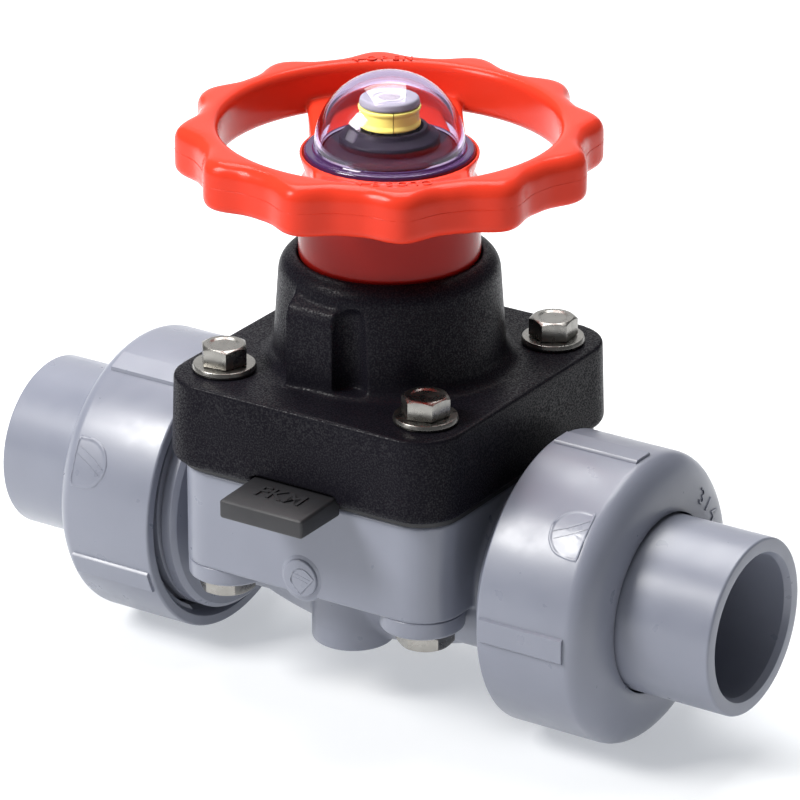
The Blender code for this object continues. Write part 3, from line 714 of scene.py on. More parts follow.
def make_body():
    """The moulded middle of the body with its waterway, then its pads, gate mark and threaded collars."""
    outline = rounded_rectangle(BLOCK_HALF_X, BLOCK_HALF_Y, BLOCK_CORNER)
    body = prism("body_middle", outline, BLOCK_LOW, BODY_TOP)
    belly = []
    steps = 12
    for i in range(steps + 1):
        x = BELLY_HALF * (1 - 2 * i / steps)
        belly.append((BARREL_R + BELLY * (1 - (x / BELLY_HALF) ** 2), x))
    reach = COLLAR_START + 3.0
    barrel = [(0.0, reach), (BARREL_R, reach), *belly, (BARREL_R, -reach), (0.0, -reach)]
    tools = [lathe("barrel", barrel, "+X", closed=False)]
    for side in (-1, 1):
        tools.append(rod("boss", BOSS_R, BOSS_LOW + 0.6, 0.0, (0.0, side * BOSS_Y), segments=64))
    add(body, *tools)
    top = BODY_TOP
    tools = [block("above", (-reach - 2, -24.0, top), (reach + 2, 24.0, top + 9.0))]
    half = FLOW_R - 0.4
    corners = [
        (WEIR_HALF, -half),
        (RISE_REACH, -half, half),
        (RISE_REACH, half, half),
        (WEIR_HALF, half),
    ]
    rise = rounded(corners, steps=10)
    for sign, turn in ((1, "+X"), (-1, "-X")):
        tools.append(rod("flow", FLOW_R, 12.0, 60.0, turn=turn, segments=64))
        tools.append(prism("rise", [(sign * x, y) for x, y in rise], -7.6, top + 5.0))
        tools.append(rod("insert_hole", BOSS_HOLE_R, BOSS_LOW - 5, BOSS_HOLE_TOP, (0.0, sign * BOSS_Y)))
    bowl = [
        (0.0, top + 2),
        (BOWL_R, top + 2),
        (BOWL_R, top - 1.0),
        (BOWL_R - 5.0, WEIR_CREST),
        (0.0, WEIR_CREST),
    ]
    tools.append(lathe("bowl", bowl, closed=False))
    for i, x, y in bolt_places():
        tools.append(rod(f"hole_{i}", BOLT_HOLE_R, -10.0, top + 5, (x, y), segments=32))
    cut(body, *tools)
    moulded(body, BODY_GRID, BODY_PASSES)
    finish_piece(body, "valve", "grey_pvc", GREY, "valve_body", sharp=60.0)

    pads = []
    for i, x, y in bolt_places():
        centre_x = math.copysign(BLOCK_HALF_X - BLOCK_CORNER, x)
        centre_y = math.copysign(BLOCK_HALF_Y - BLOCK_CORNER, y)
        radius = BLOCK_CORNER - 0.05
        outline = rounded([
            (BOLT_HOLE_R, PAD_LOW),
            (radius, PAD_LOW, 0.7),
            (radius, BLOCK_LOW + 0.12, 0.3),
            (BOLT_HOLE_R, BLOCK_LOW),
        ])
        pads.append(place(lathe(f"pad_{i}", outline, segments=64), centre_x, centre_y, 0.0))
    pads = merge(*pads)
    pads.name = "body_pads"
    finish_piece(pads, "valve", "grey_pvc", GREY, "valve_body")

    ends = [collar(turn) for turn in ("+X", "-X")]
    for side in (-1, 1):
        outline = rounded([
            (BOSS_HOLE_R, BOSS_LOW),
            (BOSS_R, BOSS_LOW, 0.5),
            (BOSS_R, BOSS_LOW + 4.0),
            (BOSS_R - 1.5, BOSS_LOW + 4.0),
            (BOSS_R - 1.5, BOSS_LOW + 1.0),
            (BOSS_HOLE_R, BOSS_LOW + 1.0),
        ])
        ends.append(place(lathe("boss_end", outline, segments=64), 0.0, side * BOSS_Y, 0.0))
    ends = merge(*ends)
    ends.name = "body_collars"
    finish_piece(ends, "valve", "grey_pvc", GREY, "valve_body")
    make_gate_stub()


def collar(turn):
    """One threaded collar, with its seal groove and a chamfered inner face."""
    end = BODY_HIGH.x
    root = COLLAR_R - THREAD_DEPTH
    first, last = COLLAR_START + 3.2, end - 1.2
    outline = rounded([
        (FLOW_R, end),
        (SEAL_SPAN_R[0], end, 0.2),
        (SEAL_SPAN_R[0], end - SEAL_DEPTH),
        (SEAL_SPAN_R[1], end - SEAL_DEPTH),
        (SEAL_SPAN_R[1], end, 0.2),
        (root - 0.3, end),
        (root, end - 0.5),
        (root, last),
        (root, first),
        (COLLAR_R, first - 0.4),
        (COLLAR_R, COLLAR_START + 0.9, 0.2),
        (COLLAR_R - 0.9, COLLAR_START, 0.2),
        (BARREL_R + 2.2, COLLAR_START, 1.2),
        (BARREL_R, COLLAR_START - 1.6, 1.0),
        (BARREL_R - 0.5, COLLAR_START - 2.0),
        (FLOW_R, COLLAR_START - 2.0),
    ])
    shell = lathe("collar", outline, turn)
    return merge(shell, thread("collar_thread", root - 0.05, COLLAR_R, first, last, turn))


def make_gate_stub():
    """The trimmed moulding gate on the front of the body: a round stub with a broken face."""
    outline = rounded(
        [(0.0, 0.7), (3.6, 0.7, 0.25), (3.7, 0.2), (4.9, -0.15, 0.6), (5.1, -1.0), (0.0, -1.0)], closed=False
    )
    stub = lathe("body_gate", outline, "-Y", 48, closed=False)
    move(stub, 0.0, -BLOCK_HALF_Y, GATE_Z)
    finish_piece(stub, "valve", "grey_pvc", GREY)
    patch = gate_patch("body_gate_patch", 2.5, 1.6, 5)
    spin(patch, -40.0, "Z")
    spin(patch, 90.0, "X")
    move(patch, 0.5, -BLOCK_HALF_Y - 0.68, GATE_Z - 0.4)
    finish_piece(patch, "valve", "grey_pvc", SCAR, sharp=60.0)


# A gate patch's rings, as the share of its radius and the height, and its slivers, as the start
# and the end in shares of the radius and then the half width
PATCH_RINGS = (
    (0.3, 0.08), (0.6, 0.07), (0.8, 0.06), (0.88, 0.05), (0.93, 0.17), (0.97, 0.09), (1.0, -0.05),
)
PATCH_SLIVERS = (((-0.85, -0.1), (0.42, 0.62), 0.05), ((-0.7, -0.35), (0.45, 0.3), 0.035))


def gate_patch(name, radius, tail, seed):
    """A thin D on z = 0, pointing along +X, with a broken edge and two slivers.

    It is a half disc and then a straight part of the length tail.
    """
    shape = bmesh.new()
    around = 56
    last = None
    middle = shape.verts.new((0.0, 0.0, 0.08 * MM))
    for share, height in PATCH_RINGS:
        row = []
        for k in range(around):
            angle = 2 * math.pi * k / around
            c, s = math.cos(angle), math.sin(angle)
            reach = radius if c <= 0 else min(radius / max(abs(s), 1e-6), tail / max(c, 1e-6))
            uneven = noise.noise(Vector((c * 2.2, s * 2.2, seed)))
            r = reach * share * (1 + 0.04 * uneven)
            lift = height * (1.0 + (1.1 * uneven if share > 0.9 else 0.3 * uneven))
            row.append(shape.verts.new((r * c * MM, r * s * MM, lift * MM)))
        for k in range(around):
            following = (k + 1) % around
            if last is None:
                shape.faces.new((middle, row[k], row[following]))
            else:
                shape.faces.new((last[k], row[k], row[following], last[following]))
        last = row
    patch = to_object(name, shape)
    for start, end, width in PATCH_SLIVERS:
        one, two = Vector(start) * radius, Vector(end) * radius
        side = Vector((one.y - two.y, two.x - one.x)).normalized() * width * radius
        mid = one.lerp(two, 0.4)
        sliver = prism("sliver", [one, mid + side, two, mid - side], 0.0, 0.07 + 0.02 * radius)
        merge(patch, sliver)
    return patch


# ---------------------------------------------------------------- bonnet


def neck_outline():
    """The neck's profile from the top of the neck, over the fillet, to the plate."""
    return rounded([
        (0.0, NECK_TOP),
        (NECK_TOP_R, NECK_TOP, NECK_SHOULDER),
        (NECK_FOOT_R, PLATE_TOP, NECK_FILLET),
        (NECK_FOOT_R + 6.0, PLATE_TOP - 0.05),
        (NECK_FOOT_R + 6.0, PLATE_TOP - 4.0),
        (0.0, PLATE_TOP - 4.0),
    ], closed=False, steps=8)


def slab(name, slope, y, z):
    """A block that stands over a plane through (y, z), which rises along +Y at the slope in degrees."""
    over = block(name, (-10.0, -10.0, 0.0), (10.0, 10.0, 12.0))
    spin(over, slope, "X")
    return place(over, -2.0, y, z)


def make_bonnet():
    """The black bonnet, moulded in one: drafted plate, round neck, flat lugs and channels."""
    low = BONNET_LOW.z
    outline = rounded_rectangle(BONNET_HIGH.x, BONNET_HIGH.y, PLATE_CORNER)
    bonnet = prism("bonnet_shell", outline, low + 0.9, PLATE_TOP, 1.0)
    for point in bonnet.data.vertices:
        up = (point.co.z / MM - low) / (PLATE_TOP - low)
        point.co.x *= 1 - PLATE_DRAFT / BONNET_HIGH.x * up
        point.co.y *= 1 - PLATE_DRAFT / BONNET_HIGH.y * up
    tools = [lathe("neck", neck_outline(), closed=False)]
    step = rounded_rectangle(BONNET_HIGH.x - 0.55, BONNET_HIGH.y - 0.55, PLATE_CORNER - 0.5)
    tools.append(prism("plate_step", step, low, low + 3.0))
    for side in (1, -1):
        lug = block("lug", (LUG_SPAN[0], -LUG_Y, PLATE_TOP - 2), (LUG_SPAN[1], -12.0, LUG_TOP + 6))
        cut(lug, slab("slope", LUG_SLOPE, -LUG_Y, LUG_TOP), slab("brow", BROW_SLOPE, *BROW_AT))
        tools.append(place(lug, 0, 0, 0, 0.0 if side > 0 else 180.0))
    add(bonnet, *tools)
    over, under = BONNET_HIGH.z + 3, low - 3
    cavity = [
        (0.0, over),
        (POCKET_R, over),
        (POCKET_R, POCKET_FLOOR),
        (LEDGE_BORE_R, POCKET_FLOOR),
        (LEDGE_BORE_R, LEDGE_BOTTOM),
        (NUT_CHAMBER_R, LEDGE_BOTTOM),
        (NUT_CHAMBER_R, CHAMBER_TOP),
        (CHAMBER_R, CHAMBER_TOP - 2.0),
        (CHAMBER_R, under),
        (0.0, under),
    ]
    tools = [lathe("cavity", cavity, closed=False)]
    for i, x, y in bolt_places():
        tools.append(rod(f"hole_{i}", BOLT_HOLE_R, low - 5, PLATE_TOP + 5, (x, y), segments=32))
    for side in (1, -1):
        bottom = PLATE_TOP + 1.0
        corners = [(0.0, bottom), (CHANNEL_R, bottom, 0.6), (CHANNEL_R, CHANNEL_TOP, 2.6), (0.0, CHANNEL_TOP)]
        outline = rounded(corners, closed=False)
        channel = lathe(f"channel_{side}", outline, closed=False, segments=48)
        tools.append(place(channel, side * CHANNEL_X, -side * CHANNEL_Y, 0.0))
    slot = TAB_HALF + 0.3
    tools.append(block("tab_slot", (-slot, -40.0, low - 5), (slot, -28.0, TAB_TOP + 0.3)))
    half_x, half_y = PIN_CHANNEL_HALF
    tools.append(block("pin_channel", (-half_x, -half_y, under), (half_x, half_y, PIN_CHANNEL_TOP)))
    cut(bonnet, *tools)
    moulded(bonnet, FINE_GRID, BONNET_PASSES)
    finish_piece(bonnet, "valve", "black_pp", BLACK, "bonnet", sharp=60.0)


# ---------------------------------------------------------------- diaphragm


def make_diaphragm():
    """The rubber membrane with its raised crown, and its moulded tab, which stays put."""
    low, top = DIAPHRAGM_LOW, DIAPHRAGM_HIGH
    outline = rounded_rectangle(BLOCK_HALF_X + 0.4, BLOCK_HALF_Y + 0.6, BLOCK_CORNER)
    rim = prism("rim", outline, MEMBRANE_LOW, MEMBRANE_TOP, 0.25)
    under, over = MEMBRANE_LOW - 5, MEMBRANE_TOP + 5
    tools = [rod("middle", CROWN_R - 0.2, under, over, segments=ROUND)]
    for i, x, y in bolt_places():
        tools.append(rod(f"hole_{i}", BOLT_HOLE_R, under, over, (x, y), segments=32))
    cut(rim, *tools)
    rise = top.z - MEMBRANE_TOP
    upper, lower = [], []
    steps = 16
    for i in range(steps + 1):
        r = CROWN_R * i / steps
        z = MEMBRANE_TOP + rise * 0.5 * (1 + math.cos(math.pi * i / steps))
        upper.append((r, z))
        lower.append((min(r, CROWN_R - 0.6), max(z - MEMBRANE_WALL, MEMBRANE_LOW)))
    crown = lathe("crown", upper + lower[::-1], closed=False, segments=64)
    membrane = merge(rim, crown)
    membrane.name = "diaphragm_membrane"
    membrane.data.shade_smooth()
    membrane.data.set_sharp_from_angle(angle=math.radians(50))
    membrane.data.materials.append(RUBBER)
    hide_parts("diaphragm")
    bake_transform(membrane)

    tab = block("diaphragm_tab", (-TAB_HALF, low.y, low.z), (TAB_HALF, TAB_ROOT_Y, TAB_TOP), 0.55)
    for point in tab.data.vertices:
        out = (TAB_ROOT_Y - point.co.y / MM) / (TAB_ROOT_Y - low.y)
        if point.co.z / MM > (low.z + TAB_TOP) / 2:
            point.co.z -= TAB_DROOP * out * MM
    half, outer = TAB_HALF - 0.7, TAB_ROOT_Y - 0.6
    root = block("tab_root", (-half, outer, MEMBRANE_LOW), (half, -29.0, MEMBRANE_TOP))
    label = words("FKM", TAB_WORD_SIZE, TAB_WORD_HEIGHT)
    spin(label, math.degrees(math.atan(TAB_DROOP / (TAB_ROOT_Y - low.y))), "X")
    place(label, 0.0, (low.y + TAB_ROOT_Y) / 2 + 0.2, TAB_TOP - TAB_DROOP / 2 - 0.06)
    merge(tab, root, label)
    finish_piece(tab, "valve", "rubber", RUBBER, "diaphragm")


def words(text, size, depth):
    """A flat solid of the words, centred on the origin and standing on z = 0."""
    data = bpy.data.curves.new("words", "FONT")
    data.body = text
    data.size = size * MM
    data.extrude = depth / 2 * MM
    data.offset = 0.03 * MM
    data.align_x = "CENTER"
    data.align_y = "CENTER"
    return place(curve_to_object("words", data), 0.0, 0.0, depth / 2)


# ---------------------------------------------------------------- bonnet fasteners


def make_fasteners():
    """Hex bolts with chamfered heads, dished washers, and nuts with a thread end below."""
    for i, x, y in bolt_places():
        low, high = span(f"bonnet_bolt_{i}")
        washer_low, washer_high = span(f"bolt_washer_{i}")
        nut_low, nut_high = span(f"bolt_nut_{i}")
        turn = BOLT_TURN * i

        head_low = washer_high.z + 0.12
        head = prism("head", hexagon(HEAD_FLATS), head_low, high.z)
        crown = rounded([
            (0.0, high.z - 0.25),
            (2.4, high.z - 0.25, 0.2),
            (2.9, high.z, 0.2),
            (3.7, high.z, 0.3),
            (4.7, high.z - 0.55, 0.3),
            (4.7, head_low, 0.2),
            (0.0, head_low),
        ], closed=False)
        combine(head, [lathe("crown", crown, closed=False, segments=64)], "INTERSECT")
        bevelled(head, 0.12)
        flange = rod("flange", 3.9, head_low + 0.4, head_low - 0.1)
        shank = rod("shank", BOLT_R, low.z + 0.4, head_low + 0.5, segments=32)
        tip_top = low.z + 0.45
        cone = [(0.0, low.z), (BOLT_TIP_R, low.z), (BOLT_R, tip_top), (0.0, tip_top)]
        tip = lathe("tip", cone, closed=False, segments=32)
        bolt = place(merge(head, flange, shank, tip), x, y, 0.0, turn)
        bolt.name = f"bolt_{i}"
        finish_piece(bolt, "valve", "stainless", STEEL, f"bonnet_bolt_{i}")

        outer = (washer_high.x - washer_low.x) / 2
        dished = rounded([
            (FASTENER_BORE_R, washer_low.z + 0.1),
            (outer - 0.1, washer_low.z - 0.25, 0.2),
            (outer, washer_low.z + 0.3, 0.25),
            (outer - 0.25, washer_high.z - 0.12, 0.15),
            (FASTENER_BORE_R, washer_high.z + 0.02),
        ])
        washer = place(lathe(f"washer_{i}", dished, segments=72), x, y, 0.0)
        finish_piece(washer, "valve", "stainless", STEEL, f"bolt_washer_{i}")

        nut = prism(f"nut_{i}", hexagon(NUT_FLATS), nut_low.z, nut_high.z)
        barrel = rounded([
            (FASTENER_BORE_R, nut_low.z),
            (4.55, nut_low.z, 0.2),
            (5.6, nut_low.z + 0.6, 0.2),
            (5.6, nut_high.z - 0.6, 0.2),
            (4.55, nut_high.z, 0.2),
            (FASTENER_BORE_R, nut_high.z),
        ])
        combine(nut, [lathe("barrel", barrel, segments=64)], "INTERSECT")
        bevelled(nut, 0.12)
        place(nut, x, y, 0.0, turn + NUT_TURN)
        finish_piece(nut, "valve", "stainless", STEEL, f"bolt_nut_{i}")


# ---------------------------------------------------------------- handwheel


def lobed(shrink=0.0, steps_per_lobe=24):
    """The outside of the rim: broad valleys between rounded lobes."""
    outline = []
    count = RIM_LOBES * steps_per_lobe
    for i in range(count):
        angle = 2 * math.pi * i / count
        rise = (0.5 + 0.5 * math.cos(RIM_LOBES * angle)) ** 1.6
        radius = RIM_VALLEY_R + (RIM_CREST_R - RIM_VALLEY_R) * rise - shrink
        angle += math.radians(LOBE_ANGLE)
        outline.append((radius * math.cos(angle), radius * math.sin(angle)))
    return outline


def rim_rings(top):
    """The rim's section carried round: lobed outside, round inside, with large rounded edges."""
    half = (top - RIM_LOW) / 2
    outside = [(-6.0, half), (0.0, half, RIM_EDGE), (0.0, -half, RIM_UNDER), (-6.0, -half)]
    outside = rounded(outside, closed=False, steps=6)
    inside = [(6.0, -half), (0.0, -half, RIM_UNDER), (0.0, half, RIM_INNER_EDGE), (6.0, half)]
    inside = rounded(inside, closed=False, steps=6)
    rings = []
    for out, z in outside[1:-1]:
        rings.append([(x, y, z + top - half) for x, y in lobed(-out)])
    count = len(rings[0])
    for out, z in inside[1:-1]:
        radius = RIM_INNER_R + out
        angles = [2 * math.pi * i / count + math.radians(LOBE_ANGLE) for i in range(count)]
        rings.append([(radius * math.cos(a), radius * math.sin(a), z + top - half) for a in angles])
    return rings


def make_handwheel():
    """The red wheel moulded in one, with its parting line and the raised words on its rim."""
    top = WHEEL_HIGH.z
    wheel = loft("handwheel_moulding", rim_rings(top))
    reach = RIM_INNER_R + 2.5
    web = block("web", (-reach, -WEB_HALF, WEB_SPAN[0]), (reach, WEB_HALF, WEB_SPAN[1]), 1.6)
    place(web, 0, 0, 0, WEB_ANGLE)
    cup = rounded([
        (DOME_SEAT_R, CUP_LIP),
        (16.3, CUP_LIP),
        (16.6, CUP_LIP - 0.4),
        (16.4, CUP_LIP - 1.0),
        (15.3, 71.6, 1.5),
        (16.4, 70.2, 1.0),
        (HUB_FOOT_R, BONNET_HIGH.z - 0.6),
        (HUB_FOOT_R, HUB_STEP + 0.6, 0.4),
        (HUB_R, HUB_STEP),
        (HUB_R, HUB_GROOVE[1], 0.2),
        (HUB_GROOVE_R, HUB_GROOVE[1]),
        (HUB_GROOVE_R, HUB_GROOVE[0]),
        (HUB_R, HUB_GROOVE[0], 0.2),
        (HUB_R, WHEEL_LOW.z, 0.5),
        (HUB_BORE_R, WHEEL_LOW.z),
        (HUB_BORE_R, HUB_FLOOR),
        (COLLAR_SEAT_R, HUB_FLOOR),
        (COLLAR_SEAT_R, SEAL_SEAT),
        (SEAL_SEAT_R, SEAL_SEAT),
        (SEAL_SEAT_R, DOME_SEAT),
        (DOME_SEAT_R, DOME_SEAT),
    ])
    cut(
        web,
        rod("web_core", WEB_CORE_R, 60.0, WEB_CUP_FLOOR, segments=ROUND),
        rod("web_cup", DOME_FLANGE_R + 0.5, WEB_CUP_FLOOR, 90.0, segments=ROUND),
    )
    add(wheel, web, lathe("cup", cup))
    foot = WHEEL_LOW.z - 3
    cut(wheel, block("keyway", (8.0, -KEYWAY_HALF, foot), (KEYWAY_R, KEYWAY_HALF, KEYWAY_TOP)))
    moulded(wheel, FINE_GRID, WHEEL_PASSES)
    finish_piece(wheel, "wheel_set", "red_abs", RED, "handwheel", sharp=60.0)

    line = bpy.data.curves.new("parting_line", "CURVE")
    line.dimensions = "3D"
    line.bevel_depth = 0.09 * MM
    line.bevel_resolution = 1
    points = lobed(0.03, 12)
    spline = line.splines.new("POLY")
    spline.points.add(len(points) - 1)
    spline.use_cyclic_u = True
    for point, (x, y) in zip(spline.points, points):
        point.co = (x * MM, y * MM, (RIM_LOW + top) / 2 * MM, 1.0)
    finish_piece(curve_to_object("wheel_parting_line", line), "wheel_set", "red_abs", RED)

    marks = rim_mark("OPEN", WEB_ANGLE + 180.0, -1) + rim_mark("CLOSE", WEB_ANGLE, 1)
    marks = merge(*marks)
    marks.name = "wheel_marks"
    finish_piece(marks, "wheel_set", "red_abs", RED)


def rim_mark(text, middle, arrow_side):
    """Raised letters along the top of the rim, read from the hub, with a curved arrow beside them."""
    pitch, height = MARK_PITCH, MARK_HEIGHT
    made = []
    count = len(text) + 1
    shift = arrow_side * pitch / 2
    for i, letter in enumerate(text):
        angle = middle + ((len(text) - 1) / 2 - i) * pitch + shift
        glyph = words(letter, MARK_SIZE, height)
        spin(glyph, -90.0, "Z")
        move(glyph, MARK_R, 0.0, WHEEL_HIGH.z - 0.1)
        spin(glyph, angle, "Z")
        made.append(glyph)
    start = middle - arrow_side * (count / 2 + 0.1) * pitch + shift
    made.append(arrow(start, -arrow_side, height))
    return made


def arrow(middle, side, height):
    """A small arrow that follows the rim."""
    half, barb = 2.3, 1.5
    tail, neck, tip = middle - side * half, middle + side * 0.4, middle + side * half
    outline = []
    for angle, radius in (
        (tail, MARK_R - 0.28), (neck, MARK_R - 0.28), (neck, MARK_R - barb * 0.7), (tip, MARK_R),
        (neck, MARK_R + barb * 0.7), (neck, MARK_R + 0.28), (tail, MARK_R + 0.28),
    ):
        outline.append((radius * math.cos(math.radians(angle)), radius * math.sin(math.radians(angle))))
    return prism("arrow", outline, WHEEL_HIGH.z - 0.1, WHEEL_HIGH.z - 0.1 + height)


# ---------------------------------------------------------------- indicator and dome


def dome_arc(radius, angles):
    """Points of the dome's profile at the angles from its top, in degrees."""
    return [
        (radius * math.sin(math.radians(a)), DOME_CENTRE + radius * math.cos(math.radians(a)))
        for a in angles
    ]


def make_indicator():
    """The black collar, the yellow band like a spool, the grey cap and the clear dome over them."""
    top = HOUSING_HIGH.z
    outline = rounded([
        (HOUSING_BORE_R, top, 0.2),
        (6.9, top, 0.4),
        (7.3, top - 0.8, 0.8),
        (9.0, top - 1.75, 0.3),
        (9.2, top - 2.1, 0.1),
        (9.2, top - 3.3, 0.2),
        (11.4, top - 3.6, 0.3),
        (HOUSING_R, top - 4.2, 0.4),
        (HOUSING_R, HOUSING_LOW.z),
        (LEDGE_BORE_R, HOUSING_LOW.z),
        (LEDGE_BORE_R, HOUSING_ROOF),
        (HOUSING_BORE_R, HOUSING_ROOF),
    ])
    housing = lathe("indicator_collar", outline)
    finish_piece(housing, "wheel_set", "black_pp", GLOSS_BLACK, "indicator_housing")

    low, high = span("indicator_band")
    radius = high.x
    outline = rounded([
        (BAND_BORE_R, high.z),
        (radius, high.z, 0.15),
        (radius, high.z - 0.45, 0.3),
        (radius - 0.28, high.z - 1.0, 0.6),
        (radius - 0.28, low.z + 1.0, 0.6),
        (radius, low.z + 0.45, 0.3),
        (radius, low.z, 0.15),
        (BAND_BORE_R, low.z),
    ])
    band = lathe("yellow_band", outline, segments=96)
    split = block("split", (3.0, -0.07, low.z - 1), (8.0, 0.07, high.z + 1))
    cut(band, place(split, 0, 0, 0, SPLIT_ANGLE))
    finish_piece(band, "stem_set", "indicator_yellow", YELLOW, "indicator_band")

    low, high = span("indicator_cap")
    radius = high.x
    outline = rounded([
        (1.3, low.z),
        (1.3, high.z - 0.7),
        (1.95, high.z - 0.65),
        (1.95, high.z - 0.12, 0.1),
        (2.5, high.z - 0.12, 0.1),
        (2.62, high.z - 0.36),
        (3.0, high.z - 0.36),
        (3.12, high.z - 0.04, 0.1),
        (radius - 0.25, high.z, 0.55),
        (radius, low.z + 0.3, 0.2),
        (radius, low.z),
    ])
    cap = lathe("grey_cap", outline, segments=96)
    finish_piece(cap, "stem_set", "cap_grey", CAP_GREY, "indicator_cap")

    inner_r = DOME_R - DOME_WALL
    edge = DOME_CENTRE - 0.05
    outside, inside = dome_arc(DOME_R, range(0, 88, 3)), dome_arc(inner_r, range(90, -1, -3))
    dome = lathe("clear_dome", outside + [(DOME_R, edge), (inner_r, edge)] + inside, closed=False)
    # Light passes through to the indicator, as it does through a real clear dome
    dome.visible_shadow = False
    finish_piece(dome, "wheel_set", "clear_dome", DOME, "dome")
    under = DOME_CENTRE - 0.1
    flange = rounded([
        (inner_r, under),
        (DOME_R + 0.1, under, 0.1),
        (DOME_R + 0.35, under - 0.35, 0.2),
        (DOME_FLANGE_R, under - 0.15, 0.8),
        (DOME_FLANGE_R, DOME_LOW.z + 0.7, 0.25),
        (14.3, DOME_LOW.z + 0.7, 0.2),
        (14.3, DOME_LOW.z, 0.2),
        (inner_r, DOME_LOW.z, 0.2),
    ])
    ring = lathe("dome_flange", flange)
    finish_piece(ring, "wheel_set", "clear_dome", DOME_RING, "dome")


# ---------------------------------------------------------------- pipe unions


def make_union(side, turn, rib_phase, gate_angle):
    """One end connector and its ribbed union nut."""
    sign = 1 if turn == "+X" else -1
    end = TAIL_HIGH.x
    outline = rounded([
        (SOCKET_R + 0.7, end, 0.15),
        (TAIL_R, end, 0.5),
        (TAIL_R, TAIL_FLANGE_OUT, 0.5),
        (TAIL_FLANGE_R, TAIL_FLANGE_OUT, 0.4),
        (TAIL_FLANGE_R, TAIL_LOW.x, 0.4),
        (FLOW_R, TAIL_LOW.x),
        (FLOW_R, SOCKET_FLOOR, 0.4),
        (SOCKET_R - 0.15, SOCKET_FLOOR, 0.3),
        (SOCKET_R, end - 1.2, 0.3),
    ])
    tail = lathe(f"{side}_tail", outline, turn)
    finish_piece(tail, f"{side}_tail", "grey_pvc", GREY, f"{side}_end_connector")

    start, stop = NUT_LOW.x, NUT_HIGH.x
    first, last = start + 1.6, UNION_SHOULDER - 3.0
    root = UNION_BORE_R + THREAD_DEPTH
    shoulder = [(UNION_HOLE_R, stop - 0.4)]
    for i in range(13):
        angle = math.pi / 2 * i / 12
        wide = FACE_R + (UNION_R - FACE_R) * math.sin(angle)
        shoulder.append((wide, stop - SHOULDER_DROP * (1 - math.cos(angle))))
    outline = rounded([
        *shoulder,
        (UNION_R, start, 0.5),
        (root + 0.9, start, 0.15),
        (root, first),
        (root, last),
        (UNION_BORE_R, UNION_SHOULDER - 2.6),
        (UNION_BORE_R, UNION_SHOULDER, 0.8),
        (UNION_HOLE_R, UNION_SHOULDER, 0.3),
    ], steps=8)
    nut = lathe(f"{side}_nut", outline, turn)
    tools = []
    for i in range(4):
        section = [
            (-RIB_HALF - 0.55, -1.0),
            (RIB_HALF + 0.55, -1.0),
            (RIB_HALF + 0.3, 0.1),
            (RIB_HALF, RIB_RISE),
            (-RIB_HALF, RIB_RISE),
            (-RIB_HALF - 0.3, 0.1),
        ]
        rib = prism("rib", section, *RIB_SPAN)
        move(rib, 0.0, UNION_R, 0.0)
        # The section's up is now +Y, so the rib stands on the nut's +Y side and runs along +Z.
        spin(rib, 90.0 * i, "Z")
        rib.data.transform(TURNS[turn])
        spin(rib, rib_phase, "X")
        tools.append(rib)
    add(nut, *tools)
    merge(nut, thread("nut_thread", root + 0.05, UNION_BORE_R, first, last, turn))
    for letter, angle in zip(SIZE_MARK, SIZE_MARK_ANGLES):
        glyph = words(letter, SIZE_MARK_HEIGHT, 0.5)
        spin(glyph, SIZE_MARK_TILT, "X")
        move(glyph, 0.0, SIZE_MARK_R, stop - 0.52)
        spin(glyph, angle - 90.0, "Z")
        glyph.data.transform(TURNS[turn])
        merge(nut, glyph)
    finish_piece(nut, f"{side}_nut", "grey_pvc", GREY, f"{side}_union_nut", sharp=30.0)

    patch = gate_patch(f"{side}_nut_gate_patch", GATE_R, GATE_TAIL, 11 + 7 * sign)
    for point in patch.data.vertices:
        along, across, height = point.co / MM
        angle = math.radians(gate_angle) + across / UNION_R
        radius = UNION_R + height
        point.co = Vector((sign * (GATE_X + along), -radius * math.cos(angle), radius * math.sin(angle))) * MM
    finish_piece(patch, f"{side}_nut", "grey_pvc", SCAR, sharp=60.0)


# ---------------------------------------------------------------- staging


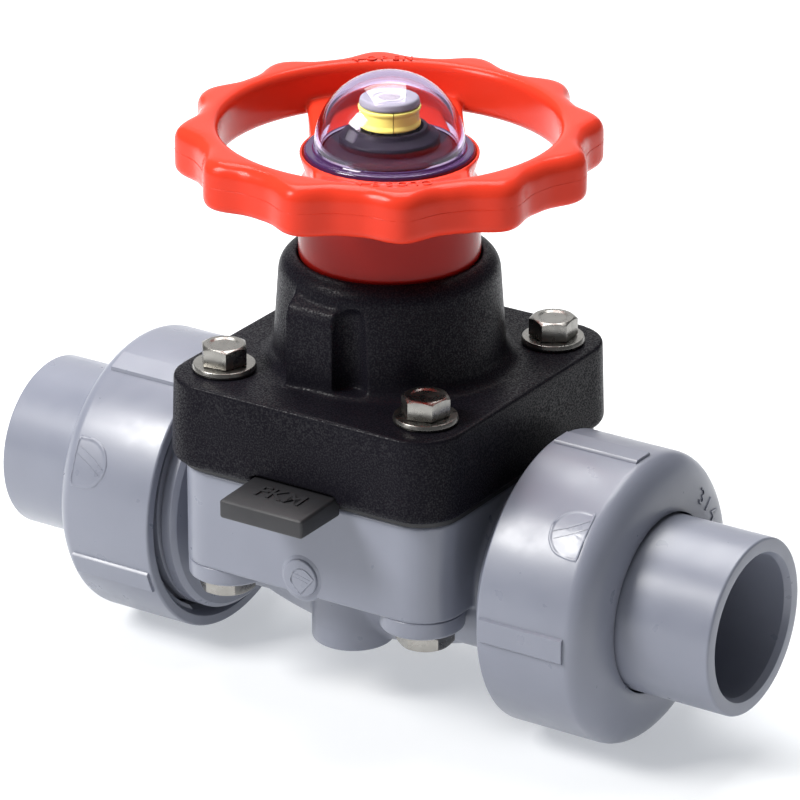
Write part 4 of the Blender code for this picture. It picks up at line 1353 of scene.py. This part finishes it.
def make_stage():
    """A pale floor, soft studio lights and the camera."""
    lowest = cad_size[0][2]
    bpy.ops.mesh.primitive_plane_add(size=FLOOR_SIZE, location=(0.0, 0.0, lowest - FLOOR_GAP))
    floor = bpy.context.object
    floor.name = "floor"
    finish = Finish("floor", Roughness=0.8, Emission_Color=(0.93, 0.96, 1.0, 1.0), Emission_Strength=0.42)
    finish.colour(finish.noise(400.0, 2.0), (0.3, (0.6, 0.605, 0.61)), (0.7, (0.62, 0.625, 0.63)))
    floor.data.materials.append(finish.material)

    for name, where, size, power, tint in LIGHTS:
        data = bpy.data.lights.new(name, "AREA")
        data.size = size
        data.energy = power
        data.color = tint
        lamp = bpy.data.objects.new(name, data)
        bpy.context.scene.collection.objects.link(lamp)
        lamp.location = where
        aim = Vector(LIGHTS_AIM) - Vector(where)
        lamp.rotation_euler = aim.to_track_quat("-Z", "Y").to_euler()

    bpy.context.scene.view_settings.view_transform = "Standard"
    world = bpy.context.scene.world or bpy.data.worlds.new("studio")
    bpy.context.scene.world = world
    world.use_nodes = True
    background = world.node_tree.nodes["Background"].inputs
    background["Color"].default_value = WORLD_COLOUR
    background["Strength"].default_value = WORLD_STRENGTH

    azimuth, elevation = math.radians(VIEW_AZIMUTH), math.radians(VIEW_ELEVATION)
    back = Vector((
        math.sin(azimuth) * math.cos(elevation),
        -math.cos(azimuth) * math.cos(elevation),
        math.sin(elevation),
    ))
    right = Vector((math.cos(azimuth), math.sin(azimuth), 0.0))
    up = back.cross(right)
    data = bpy.data.cameras.new("camera")
    data.lens = VIEW_LENS
    data.sensor_width = 36.0
    data.clip_start, data.clip_end = 0.05, 20.0
    camera = bpy.data.objects.new("camera", data)
    bpy.context.scene.collection.objects.link(camera)
    camera.location = (back * VIEW_DISTANCE + right * VIEW_SHIFT_RIGHT + up * VIEW_SHIFT_UP) * MM
    camera.rotation_euler = (-back).to_track_quat("-Z", "Y").to_euler()
    bpy.context.scene.camera = camera


dress_carried_nodes()
make_body()
make_bonnet()
make_diaphragm()
make_fasteners()
make_handwheel()
make_indicator()
make_union("right", "+X", 0.0, 45.0)
make_union("left", "-X", 22.5, 22.5)
make_stage()
